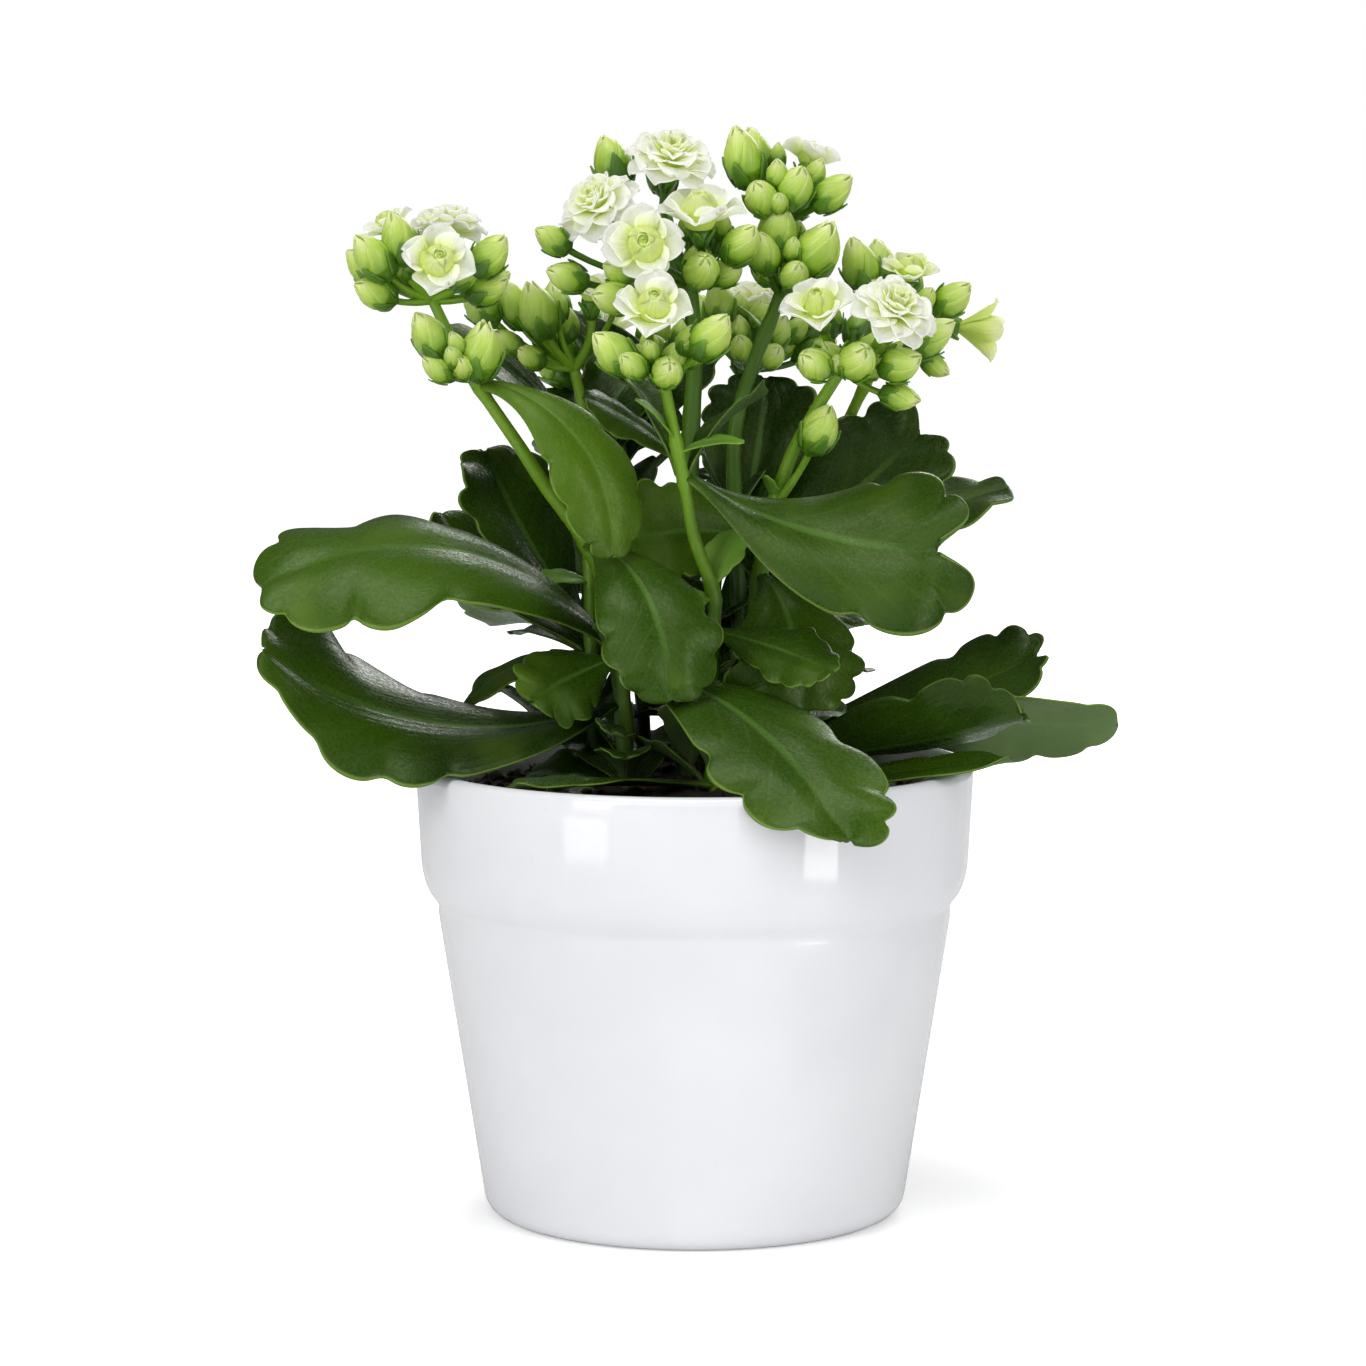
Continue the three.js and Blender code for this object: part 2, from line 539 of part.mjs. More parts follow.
// ---------------------------------------------------------------- open flowers
// An open flower is a stack of whorls round a tight heart of inner petals. A whorl is
// [radius, height where it leaves the heart, height of its petal tips, radius of the notches between
// petals, turn in columns]. These and the heart's [radius, height], from its foot to its tip, are
// shares of the flower's width.
const FLOWERS = {
  full: {
    petals: 6,
    columns: 3, // per petal: a notch and the two corners of its blunt tip
    whorls: [[0.5, 0.03, 0.09, 0.34, 0], [0.42, 0.15, 0.27, 0.28, 1], [0.28, 0.27, 0.4, 0.18, 2]],
    heart: [[0.07, 0.39], [0, 0.42]],
  },
  half: {
    petals: 4,
    columns: 4, // per petal: a notch, two shoulders and the tip
    whorls: [[0.5, 0.03, 0.2, 0.3, 0]],
    heart: [[0.23, 0.26], [0.13, 0.43], [0, 0.46]],
  },
};

// A flower that faces +Z, as one closed skin: rings of points climb the heart and run out and back
// along each whorl of petals.
function bloomGeometry(size, kind) {
  const { petals, columns, whorls, heart } = FLOWERS[kind];
  const count = petals * columns;
  const top = heart[heart.length - 1][1];
  const even = (radius, z) => Array.from({ length: count }, () => [radius, z]);
  const rings = [even(0.12, 0)];
  whorls.forEach(([radius, z, tipZ, notch, turn]) => {
    const edge = (lower) => Array.from({ length: count }, (_, k) => {
      const column = (k + turn) % columns;
      const out = column === 0 ? notch : radius * (columns === 4 && column !== 2 ? 0.94 : 1);
      const rise = (z + (tipZ - z) * ((out / radius) ** 1.5)) * size;
      return [out, (rise - (lower ? BLADE.petal * 0.6 : 0)) / size];
    });
    rings.push(edge(true), edge(false), even(0.8 * heart[0][0] + 0.02, z + 0.08));
  });
  heart.slice(0, -1).forEach(([radius, z]) => rings.push(even(radius, z)));
  const vertices = rings.flatMap((ring) => ring.map(([radius, z], k) => {
    const turn = (2 * Math.PI * k) / count;
    return new THREE.Vector3(size * radius * Math.cos(turn), size * radius * Math.sin(turn), size * z);
  }));
  const foot = vertices.push(new THREE.Vector3(0, 0, 0)) - 1;
  const tip = vertices.push(new THREE.Vector3(0, 0, size * top)) - 1;
  const faces = [];
  const last = (rings.length - 1) * count;
  for (let k = 0; k < count; k += 1) {
    const next = (k + 1) % count;
    faces.push([foot, next, k], [last + k, last + next, tip]);
    for (let i = 0; i + 1 < rings.length; i += 1) {
      const [a, b, c, d] = [i * count + k, i * count + next, (i + 1) * count + next, (i + 1) * count + k];
      faces.push([a, b, c], [a, c, d]);
    }
  }
  return indexed(vertices, faces);
}

// ---------------------------------------------------------------- assembly
const plant = new THREE.Group();

function add(name, geometry, color, roughness) {
  const mesh = new THREE.Mesh(geometry, new THREE.MeshStandardMaterial({ color, roughness, metalness: 0 }));
  mesh.name = name;
  plant.add(mesh);
  return mesh;
}

add("pot", turned(potProfile(), POT.segments), COLOURS.glaze, 0.12);
add("soil", soilGeometry(), COLOURS.peat, 0.95);

Object.keys(STALKS).forEach((name) => {
  add(`stalk_${name}`, stalkGeometry(name), COLOURS.stalk, 0.5);
});

Object.entries(LEAVES).forEach(([name, spec]) => {
  add(name, leafGeometry(spec), COLOURS.leaf, 0.4);
});

Object.entries(STALKS).forEach(([name, { heads }]) => {
  const open = heads.flatMap(({ fork, flowers }) => flowers
    .filter(([, , , , kind]) => isOpen(kind))
    .map((flower) => ({ size: flower[3], kind: flower[4], ...flowerPlace(fork, flower) })));
  open.forEach(({ size, kind, base, axis }, k) => {
    const bloom = add(`bloom_${name}_${k + 1}`, bloomGeometry(size, kind), COLOURS.petal, 0.6);
    bloom.position.copy(base);
    bloom.quaternion.setFromUnitVectors(UP, axis);
  });
});

export default plant;
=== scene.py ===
# Potted kalanchoe: glazed white pot, peat, scalloped fleshy leaves, and stalks of green buds and
# double white flowers. Tables are in millimetres and degrees, objects in metres.
import bpy
import random
from math import acos, asin, atan2, copysign, cos, degrees, exp, floor, hypot, pi, radians, sin, sqrt
from mathutils import Matrix, Vector, kdtree, noise


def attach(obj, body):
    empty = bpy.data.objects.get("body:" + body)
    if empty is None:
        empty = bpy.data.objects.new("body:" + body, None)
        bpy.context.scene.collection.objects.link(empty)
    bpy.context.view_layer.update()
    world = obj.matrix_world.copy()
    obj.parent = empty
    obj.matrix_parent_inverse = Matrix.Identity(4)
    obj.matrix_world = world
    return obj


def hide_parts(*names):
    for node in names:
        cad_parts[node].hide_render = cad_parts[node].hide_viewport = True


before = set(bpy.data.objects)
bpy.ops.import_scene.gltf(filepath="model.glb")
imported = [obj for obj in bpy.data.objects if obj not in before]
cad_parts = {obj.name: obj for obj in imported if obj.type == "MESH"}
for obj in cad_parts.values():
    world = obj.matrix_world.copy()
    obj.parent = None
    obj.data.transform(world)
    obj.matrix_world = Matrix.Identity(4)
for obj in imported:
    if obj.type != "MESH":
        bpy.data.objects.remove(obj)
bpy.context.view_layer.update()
bpy.ops.object.select_all(action="DESELECT")
print("frame loaded")

scene = bpy.context.scene
mm = 0.001
up = Vector((0, 0, 1))
fullTurn = 2 * pi


# unit vector from a bearing (0 is +X, 90 is +Y) and an elevation
def towards(bearing, elevation):
    b, e = radians(bearing), radians(elevation)
    return Vector((cos(e) * cos(b), cos(e) * sin(b), sin(e)))


# point at a radius, an angle in radians and a height
def around(radius, angle, z):
    return Vector((radius * cos(angle), radius * sin(angle), z))


def smooth(low, high, value):
    t = min(max((value - low) / (high - low), 0), 1)
    return t * t * (3 - 2 * t)


def activate(obj):
    bpy.ops.object.select_all(action="DESELECT")
    obj.select_set(True)
    bpy.context.view_layer.objects.active = obj


def applyModifier(obj, kind, **values):
    activate(obj)
    modifier = obj.modifiers.new(kind.lower(), kind)
    for key, value in values.items():
        setattr(modifier, key, value)
    bpy.ops.object.modifier_apply(modifier=modifier.name)


# objects become one, under the first one's name
def joined(objects):
    activate(objects[0])
    for obj in objects:
        obj.select_set(True)
    bpy.ops.object.join()
    return bpy.context.view_layer.objects.active


def finishPiece(obj, node, material=None):
    if material:
        obj.data.materials.append(material)
    activate(obj)
    bpy.ops.object.shade_smooth()
    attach(obj, "root")
    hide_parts(node)


def meshObject(name, vertices, edges, faces):
    mesh = bpy.data.meshes.new(name)
    mesh.from_pydata(vertices, edges, faces)
    obj = bpy.data.objects.new(name, mesh)
    scene.collection.objects.link(obj)
    return obj


# copy with a mesh of its own
def copyOf(template):
    copy = template.copy()
    copy.data = template.data.copy()
    scene.collection.objects.link(copy)
    return copy


# sheets of quads through rows of (place in mm, uv, share of the thickness), then thickened; a second
# material goes on the back
def sheetObject(name, sheets, thickness, materials=(), levels=1):
    faces, start = [], 0
    for rows in sheets:
        columns = len(rows[0])
        for i in range(len(rows) - 1):
            for j in range(columns - 1):
                a = start + i * columns + j
                faces.append((a, a + columns, a + columns + 1, a + 1))
        start += len(rows) * columns
    points = [point for rows in sheets for row in rows for point in row]
    obj = meshObject(name, [place * mm for place, uv, weight in points], [], faces)
    layer = obj.data.uv_layers.new(name="surface")
    for loop in obj.data.loops:
        layer.data[loop.index].uv = points[loop.vertex_index][1]
    group = obj.vertex_groups.new(name="thickness")
    for index, point in enumerate(points):
        group.add([index], point[2], "REPLACE")
    for material in materials:
        obj.data.materials.append(material)
    applyModifier(obj, "SOLIDIFY", thickness=thickness * mm, offset=0, vertex_group="thickness",
                  material_offset=max(len(materials) - 1, 0))
    if levels:
        applyModifier(obj, "SUBSURF", levels=levels, render_levels=levels)
    obj.vertex_groups.clear()
    return obj


# rows of a sheet of even thickness: point gives the place and v for t along it and c across it
def sheetRows(rows, across, point):
    sheet = []
    for i in range(rows):
        line = []
        for c in across:
            place, v = point(i / (rows - 1), c)
            line.append((place, (0.5 + 0.5 * c, v), 1.0))
        sheet.append(line)
    return sheet


# numbers from -1 to 1
def evenly(steps):
    return [-1 + 2 * j / steps for j in range(steps + 1)]


def setInputs(node, inputs):
    for key, value in inputs.items():
        node.inputs[key.replace("_", " ")].default_value = value


def objectPlace(tree):
    return tree.nodes.new("ShaderNodeTexCoord").outputs["Object"]


# the node helpers below work in the tree that their first socket or node belongs to
def link(a, b):
    a.id_data.links.new(a, b)


def vectorNode(operation, place, **inputs):
    made = place.id_data.nodes.new("ShaderNodeVectorMath")
    made.operation = operation
    link(place, made.inputs[0])
    setInputs(made, inputs)
    return made


def cloudNode(place, scale, detail):
    made = place.id_data.nodes.new("ShaderNodeTexNoise")
    setInputs(made, {"Detail": detail, "Roughness": 0.6})
    link(place, made.inputs["Vector"])
    link(scale, made.inputs["Scale"])
    return made.outputs[0]


def mathNode(operation, a, b=0.0):
    made = a.id_data.nodes.new("ShaderNodeMath")
    made.operation = operation
    link(a, made.inputs[0])
    if isinstance(b, float):
        made.inputs[1].default_value = b
    else:
        link(b, made.inputs[1])
    return made.outputs[0]


def times(a, b):
    return mathNode("MULTIPLY", a, b)


# 0 below low, 1 above high, eased between
def band(value, low, high, toLow=0.0, toHigh=1.0):
    made = value.id_data.nodes.new("ShaderNodeMapRange")
    made.interpolation_type = "SMOOTHSTEP"
    link(value, made.inputs["Value"])
    setInputs(made, {"From Min": low, "From Max": high, "To Min": toLow, "To Max": toHigh})
    return made.outputs["Result"]


def mixColour(factor, a, b, blend="MIX"):
    made = factor.id_data.nodes.new("ShaderNodeMix")
    made.data_type = "RGBA"
    made.blend_type = blend
    link(factor, made.inputs[0])
    for socket, value in ((made.inputs[6], a), (made.inputs[7], b)):
        if isinstance(value, tuple):
            socket.default_value = (*value, 1)
        else:
            link(value, socket)
    return made.outputs[2]


def newGroup(name, inputs, outputs):
    tree = bpy.data.node_groups.new(name, "ShaderNodeTree")
    for label, value in inputs.items():
        socket = tree.interface.new_socket(label, in_out="INPUT", socket_type="NodeSocketFloat")
        socket.default_value = value
    for label in outputs:
        tree.interface.new_socket(label, in_out="OUTPUT", socket_type="NodeSocketFloat")
    return tree, tree.nodes.new("NodeGroupInput"), tree.nodes.new("NodeGroupOutput")


# waxy skin of a succulent: soft blotches, and the fine grain of its cells
def makeSkinGroup():
    tree, given, result = newGroup("waxySkin", {"Blotch Scale": 40.0, "Grain Scale": 1100.0},
                                   ("Blotch", "Grain"))
    place = objectPlace(tree)
    for label, detail in (("Blotch", 3.0), ("Grain", 2.0)):
        link(cloudNode(place, given.outputs[label + " Scale"], detail), result.inputs[label])
    return tree


# where a point lies on a blade or petal, read from its own UV map
def makeBladeGroup():
    tree, given, result = newGroup("bladePlace", {"Wrinkle Scale": 1.0}, ("Across", "Along", "Wrinkle"))
    split = tree.nodes.new("ShaderNodeSeparateXYZ")
    surface = tree.nodes.new("ShaderNodeUVMap")
    surface.uv_map = "surface"
    place = surface.outputs[0]
    link(place, split.inputs[0])
    stretched = vectorNode("MULTIPLY_ADD", place)
    stretched.inputs[1].default_value = (13.0, 1.7, 0.0)
    drift = vectorNode("SCALE", objectPlace(tree), Scale=22.0)
    link(drift.outputs[0], stretched.inputs[2])
    folds = cloudNode(stretched.outputs[0], given.outputs["Wrinkle Scale"], 3.0)
    link(folds, result.inputs["Wrinkle"])
    doubled = mathNode("MULTIPLY_ADD", split.outputs[0], 2.0)
    doubled.node.inputs[2].default_value = -1.0
    link(mathNode("ABSOLUTE", doubled), result.inputs["Across"])
    link(split.outputs[1], result.inputs["Along"])
    return tree


skinGroup = makeSkinGroup()
bladeGroup = makeBladeGroup()


def newMaterial(name, **settings):
    material = bpy.data.materials.new(name)
    material.use_nodes = True
    tree = material.node_tree
    surface = tree.nodes["Principled BSDF"]
    setInputs(surface, settings)
    return material, tree, surface


# a group node's output sockets, in the order of the group
def groupOutputs(tree, group, **inputs):
    made = tree.nodes.new("ShaderNodeGroup")
    made.node_tree = group
    setInputs(made, inputs)
    return list(made.outputs)


def skinNode(tree, blotchScale, grainScale):
    return groupOutputs(tree, skinGroup, Blotch_Scale=blotchScale, Grain_Scale=grainScale)


def addBump(surface, height, distance, strength):
    bump = surface.id_data.nodes.new("ShaderNodeBump")
    setInputs(bump, {"Strength": strength, "Distance": distance})
    link(height, bump.inputs["Height"])
    link(bump.outputs[0], surface.inputs["Normal"])


def addColour(surface, colour):
    link(colour, surface.inputs["Base Color"])


# roughness that follows the fine grain
def addRoughness(surface, grain, low, high):
    link(band(grain, 0.3, 0.7, low, high), surface.inputs["Roughness"])


leafLook = {
    "margin": (0.260, 0.420, 0.075), "marginShare": 0.4, "vein": (0.110, 0.230, 0.040), "midrib": 0.55,
    # deep, fresh and pale colour, roughness, side veins, wrinkles; the pale colour also lightens the grain
    # into painted sparkle
    "leafTop": ((0.013, 0.038, 0.002), (0.050, 0.112, 0.005), (0.115, 0.205, 0.014), 0.30, 0.09, 0.6),
    # leafLit is a lighter copy for leaves in the light and leafShaded a darker copy for leaves in shade:
    # painted light and painted shade
    "leafLit": ((0.026, 0.066, 0.003), (0.082, 0.165, 0.008), (0.15, 0.26, 0.02), 0.30, 0.09, 0.4),
    "leafShaded": ((0.008, 0.024, 0.002), (0.034, 0.080, 0.004), (0.08, 0.14, 0.012), 0.30, 0.06, 1.8),
    "leafBack": ((0.045, 0.088, 0.022), (0.115, 0.185, 0.062), (0.15, 0.24, 0.08), 0.42, 0.12, 0.6),
    "bractTop": ((0.10, 0.24, 0.02), (0.20, 0.38, 0.05), (0.3, 0.48, 0.09), 0.4, 0.1, 0.3),
}


def leafMaterial(name):
    deep, fresh, paleToneAndSparkle, roughness, veins, wrinkles = leafLook[name]
    material, tree, surface = newMaterial(
        name, IOR=1.45, Specular_IOR_Level=0.34, Specular_Tint=(0.85, 1.0, 0.6, 1.0),
        Subsurface_Weight=0.05, Subsurface_Scale=0.002)
    blotch, grain = skinNode(tree, 34.0, 1300.0)
    across, along, wrinkle = groupOutputs(tree, bladeGroup)
    broadBlotch, broadGrain = skinNode(tree, 11.0, 240.0)
    colour = mixColour(band(broadBlotch, 0.36, 0.66), deep, fresh)
    colour = mixColour(band(blotch, 0.5, 0.75, 0.0, 0.45), colour, paleToneAndSparkle)
    rib = band(across, 0.02, 0.09, 1.0, 0.0)
    rib = times(rib, band(along, 0.2, 0.95, 1.0, 0.0))
    # side veins lean forward from the midrib
    phase = mathNode("SUBTRACT", times(along, 9.0), times(across, 2.6))
    wave = mathNode("PINGPONG", phase, 0.5)
    vein = times(band(wave, 0.02, 0.10, 1.0, 0.0), veins)
    vein = times(vein, band(across, 0.55, 0.95, 1.0, 0.0))
    lines = mathNode("MAXIMUM", times(rib, leafLook["midrib"]), vein)
    colour = mixColour(lines, colour, leafLook["vein"])
    edge = times(band(across, 0.97, 1.0), leafLook["marginShare"])
    colour = mixColour(edge, colour, leafLook["margin"])
    # painted highlight: the peaks of the fine grain are lightened toward the pale colour, standing in for
    # glints on the waxy skin
    addColour(surface, mixColour(band(grain, 0.55, 0.75, 0.0, 0.14), colour, paleToneAndSparkle))
    rough = mathNode("ADD", band(grain, 0.35, 0.65, roughness - 0.1, roughness + 0.12),
                     band(blotch, 0.4, 0.7, 0.0, 0.1))
    link(rough, surface.inputs["Roughness"])
    height = mathNode("ADD", times(grain, 0.5), times(broadGrain, 0.45))
    height = mathNode("SUBTRACT", height, times(lines, 0.8))
    height = mathNode("ADD", height, times(wrinkle, wrinkles))
    addBump(surface, height, 0.00022, 0.7)
    return material


leafTop, leafLit, leafShaded, leafBack, bractTop = [
    leafMaterial(name) for name in ("leafTop", "leafLit", "leafShaded", "leafBack", "bractTop")]

# colour near the peat and at the top, and that of the streaks
stalkLook = {
    "stalkSkin": ((0.045, 0.125, 0.004), (0.165, 0.330, 0.012), (0.23, 0.39, 0.035)),
    # stalkShaded: a darker copy of the stalk colours for the stalks further back, painted shade
    "stalkShaded": ((0.024, 0.072, 0.003), (0.075, 0.175, 0.008), (0.10, 0.22, 0.020)),
}


def stalkMaterial(name):
    low, high, streak = stalkLook[name]
    material, tree, surface = newMaterial(
        name, Coat_Weight=0.05, Coat_Roughness=0.35, Specular_IOR_Level=0.35,
        Subsurface_Weight=0.08, Subsurface_Scale=0.002)
    blotch, grain = skinNode(tree, 70.0, 1500.0)
    split = tree.nodes.new("ShaderNodeSeparateXYZ")
    link(objectPlace(tree), split.inputs[0])
    colour = mixColour(band(split.outputs[2], 0.10, 0.19), low, high)
    addColour(surface, mixColour(band(blotch, 0.45, 0.7, 0.0, 0.5), colour, streak))
    addRoughness(surface, grain, 0.32, 0.5)
    addBump(surface, grain, 0.00015, 0.6)
    return material


# stops run from the green foot of a bud or petal to its pale tip
gradientLook = {
    "budSkin": {
        "stops": ((0.0, (0.035, 0.105, 0.005)), (0.22, (0.10, 0.24, 0.010)), (0.42, (0.28, 0.48, 0.035)),
                  (0.75, (0.58, 0.78, 0.13)), (1.0, (0.84, 0.92, 0.38))),
        "roughness": 0.34, "subsurface": 0.4, "ribs": 3.0, "glow": 0.06},
    "petalSkin": {
        "stops": ((0.0, (0.50, 0.68, 0.08)), (0.22, (0.62, 0.79, 0.15)), (0.48, (0.85, 0.91, 0.44)),
                  (0.75, (0.95, 0.955, 0.83)), (1.0, (0.96, 0.955, 0.91))),
        "roughness": 0.5, "subsurface": 0.85, "ribs": 4.0, "glow": 0.08},
}


def gradientMaterial(name):
    s = gradientLook[name]
    material, tree, surface = newMaterial(
        name, Subsurface_Weight=s["subsurface"], Subsurface_Scale=0.0025, Coat_Weight=0.05,
        Coat_Roughness=0.4)
    surface.inputs["Subsurface Radius"].default_value = (1.0, 1.0, 0.9)
    blotch, grain = skinNode(tree, 160.0, 1800.0)
    across, along = groupOutputs(tree, bladeGroup)[:2]
    along = mathNode("ADD", along, band(blotch, 0.3, 0.7, -0.05, 0.05))
    ramp = tree.nodes.new("ShaderNodeValToRGB")
    while len(ramp.color_ramp.elements) < len(s["stops"]):
        ramp.color_ramp.elements.new(0.5)
    for element, (position, colour) in zip(ramp.color_ramp.elements, s["stops"]):
        element.position = position
        element.color = (*colour, 1)
    link(along, ramp.inputs[0])
    line = mathNode("PINGPONG", times(across, s["ribs"]), 0.5)
    line = band(line, 0.0, 0.16, 1.0, 0.0)
    colour = mixColour(times(line, 0.16), ramp.outputs[0], (0.55, 0.68, 0.30), "MULTIPLY")
    addColour(surface, colour)
    link(colour, surface.inputs["Emission Color"])  # painted glow: the colour is also emitted, standing in for light that comes through
    surface.inputs["Emission Strength"].default_value = s["glow"]
    addRoughness(surface, grain, s["roughness"] - 0.06, s["roughness"] + 0.08)
    addBump(surface, mathNode("SUBTRACT", times(grain, 0.5), line), 0.00008, 0.5)
    return material


stalkSkin = stalkMaterial("stalkSkin")
stalkShaded = stalkMaterial("stalkShaded")
budSkin = gradientMaterial("budSkin")
petalSkin = gradientMaterial("petalSkin")

glazeLook = {"shade": (0.80, 0.805, 0.84), "clear": (0.84, 0.845, 0.87), "speck": (0.62, 0.61, 0.60)}
peatLook = {"wet": (0.010, 0.006, 0.004), "dry": (0.050, 0.030, 0.017), "fibre": (0.11, 0.075, 0.045)}


def glazeMaterial():
    material, tree, surface = newMaterial("whiteGlaze", IOR=1.5, Specular_IOR_Level=0.5)
    blotch, grain = skinNode(tree, 18.0, 420.0)
    colour = mixColour(band(blotch, 0.35, 0.65), glazeLook["shade"], glazeLook["clear"])
    addColour(surface, mixColour(band(grain, 0.68, 0.80, 0.0, 0.12), colour, glazeLook["speck"]))
    addRoughness(surface, grain, 0.05, 0.09)
    addBump(surface, mathNode("ADD", blotch, times(grain, 0.06)), 0.0004, 0.2)
    return material


def peatMaterial():
    material, tree, surface = newMaterial("peat")
    blotch, grain = skinNode(tree, 120.0, 900.0)
    colour = mixColour(band(blotch, 0.35, 0.7), peatLook["wet"], peatLook["dry"])
    addColour(surface, mixColour(band(grain, 0.6, 0.75, 0.0, 0.5), colour, peatLook["fibre"]))
    addRoughness(surface, grain, 0.8, 1.0)
    addBump(surface, grain, 0.0006, 0.8)
    return material


whiteGlaze = glazeMaterial()
peat = peatMaterial()
print("materials made")

potShape = {
    "height": 101, "rimRadius": 62, "bandBottomRadius": 60.8, "bandBottomZ": 77.5,
    "stepRadius": 57.1, "stepZ": 70.0, "footRadius": 47.2, "footCorner": 5,
    "uprightDrop": 2.6,  # a short upright stretch under the ledge
    "belly": (2.45, 3.2),  # the ledge turns in faster towards its lower end
    # reach and number of steps of each soft corner
    "uprightCorner": (1.2, 3), "stepCorner": (1.0, 3), "bellyCorner": (1.8, 4), "ledgeCorner": (2.4, 5),
    "wall": 4, "innerFloor": 6, "innerFoot": 3.4, "innerCorner": (8, 4), "turns": 128, "creaseAngle": 50,
}


# points of a curve from a to c that leaves towards b
def bentLine(a, b, c, steps):
    return [a.lerp(b, t).lerp(b.lerp(c, t), t) for t in (k / steps for k in range(steps + 1))]


# rounds a corner of an outline with a few points
def softCorner(before, corner, after, reach, steps):
    a = corner + (before - corner).normalized() * reach
    c = corner + (after - corner).normalized() * reach
    return bentLine(a, corner, c, steps)


def makePot():
    s = potShape
    lip, corner = s["wall"] / 2, s["footCorner"]
    flat = s["footRadius"] - corner
    outline = [Vector((flat, 0))]
    outline += [Vector((flat + corner * sin(t), corner * (1 - cos(t))))
                for t in (0.3, 0.6, 0.9, 1.2, 1.45)]
    step = Vector((s["stepRadius"], s["stepZ"]))
    ledge = Vector((s["bandBottomRadius"], s["bandBottomZ"]))
    rim = Vector((s["rimRadius"], s["height"] - lip))
    upright = step - Vector((0, s["uprightDrop"]))
    belly = step + Vector(s["belly"])
    outline += [outline[-1].lerp(upright, 0.35), outline[-1].lerp(upright, 0.7)]
    outline += softCorner(outline[-1], upright, step, *s["uprightCorner"])
    outline += softCorner(upright, step, belly, *s["stepCorner"])
    outline += softCorner(step, belly, ledge, *s["bellyCorner"])
    outline += softCorner(belly, ledge, rim, *s["ledgeCorner"])
    outline += [ledge.lerp(rim, 0.55)]
    outline += [Vector((s["rimRadius"] - lip + lip * cos(t), s["height"] - lip + lip * sin(t)))
                for t in (k * pi / 10 for k in range(11))]
    inward, upward = s["innerCorner"]
    outline += [Vector((ledge.x - s["wall"], ledge.y)), Vector((step.x - s["wall"], step.y)),
                Vector((s["footRadius"] - s["innerFoot"], s["innerFloor"] + upward)),
                Vector((s["footRadius"] - inward, s["innerFloor"]))]
    obj = meshObject("glazedPot", [(p.x * mm, 0, p.y * mm) for p in outline],
                     [(i, i + 1) for i in range(len(outline) - 1)], [])
    activate(obj)
    bpy.ops.object.mode_set(mode="EDIT")
    bpy.ops.mesh.select_all(action="SELECT")
    bpy.ops.mesh.spin(steps=s["turns"], angle=fullTurn, center=(0, 0, 0), axis=(0, 0, 1))
    bpy.ops.mesh.select_all(action="SELECT")
    bpy.ops.mesh.remove_doubles(threshold=0.00001)
    bpy.ops.mesh.select_all(action="DESELECT")
    bpy.ops.mesh.select_non_manifold()  # the open foot and the open inner floor
    bpy.ops.mesh.edge_face_add()
    bpy.ops.mesh.select_all(action="SELECT")
    bpy.ops.mesh.normals_make_consistent(inside=False)
    bpy.ops.object.mode_set(mode="OBJECT")
    finishPiece(obj, "pot", whiteGlaze)
    bpy.ops.object.shade_smooth_by_angle(angle=radians(s["creaseAngle"]))


peatShape = {"top": 94, "crown": 2.5, "edgeDrop": 2.2, "radius": 57.6, "taper": 1.6, "depth": 14,
             "rings": 34, "turns": 80, "roughness": 1.5, "crumbs": 420, "crumbSize": (0.7, 2.1),
             "creaseAngle": 35}


# a point on the peat's surface, or that much above it
def peatPoint(radius, angle, lift=0):
    s = peatShape
    x, y = radius * cos(angle), radius * sin(angle)
    share = min(hypot(x, y) / s["radius"], 1)
    rough = noise.fractal(Vector((x, y, 0)) * 0.16, 1.0, 2.1, 4) * s["roughness"]
    drop = s["edgeDrop"] * smooth(0.86, 1, share)
    return Vector((x, y, s["top"] + s["crown"] * (1 - share ** 2) + rough - drop + lift))


def makePeat():
    s = peatShape
    draw = random.Random(5)
    vertices, faces = [peatPoint(0, 0)], []
    for i in range(1, s["rings"] + 1):
        for k in range(s["turns"]):
            angle = fullTurn * (k + 0.5 * (i % 2)) / s["turns"]
            vertices.append(peatPoint(s["radius"] * i / s["rings"], angle))
    turns, rings = s["turns"], s["rings"] + 1
    bottom = s["top"] - s["depth"]
    vertices += [around(s["radius"] - s["taper"], fullTurn * k / turns, bottom) for k in range(turns)]
    vertices.append(Vector((0, 0, bottom)))
    for k in range(turns):
        following = (k + 1) % turns
        faces.append((0, 1 + k, 1 + following))
        for i in range(rings - 1):
            a, b = 1 + i * turns, 1 + (i + 1) * turns
            faces.append((a + k, b + k, b + following, a + following))
        last = 1 + (rings - 1) * turns
        faces.append((last + following, last + k, len(vertices) - 1))
    base = meshObject("pottingPeat", [v * mm for v in vertices], [], faces)
    bpy.ops.mesh.primitive_ico_sphere_add(subdivisions=1, radius=1)
    crumb = bpy.context.object
    crumbs = []
    for _ in range(s["crumbs"]):
        radius, angle = s["radius"] * 0.97 * sqrt(draw.random()), draw.uniform(0, fullTurn)
        size = draw.uniform(*s["crumbSize"])
        copy = copyOf(crumb)
        for vertex in copy.data.vertices:
            vertex.co *= draw.uniform(0.6, 1.25)
        turn = Matrix.Rotation(draw.uniform(0, 6.28), 4, Vector((draw.random(), draw.random(), 1)))
        place = Matrix.Translation(peatPoint(radius, angle, 0.2 * size) * mm)
        stretch = Matrix.Diagonal((size * mm, size * mm * draw.uniform(0.5, 1), size * mm * 0.7, 1))
        copy.data.transform(place @ turn @ stretch)
        crumbs.append(copy)
    bpy.data.objects.remove(crumb)
    whole = joined([base, *crumbs])
    finishPiece(whole, "soil", peat)
    bpy.ops.object.shade_smooth_by_angle(angle=radians(s["creaseAngle"]))


makePot()
makePeat()
print("pot and peat made")


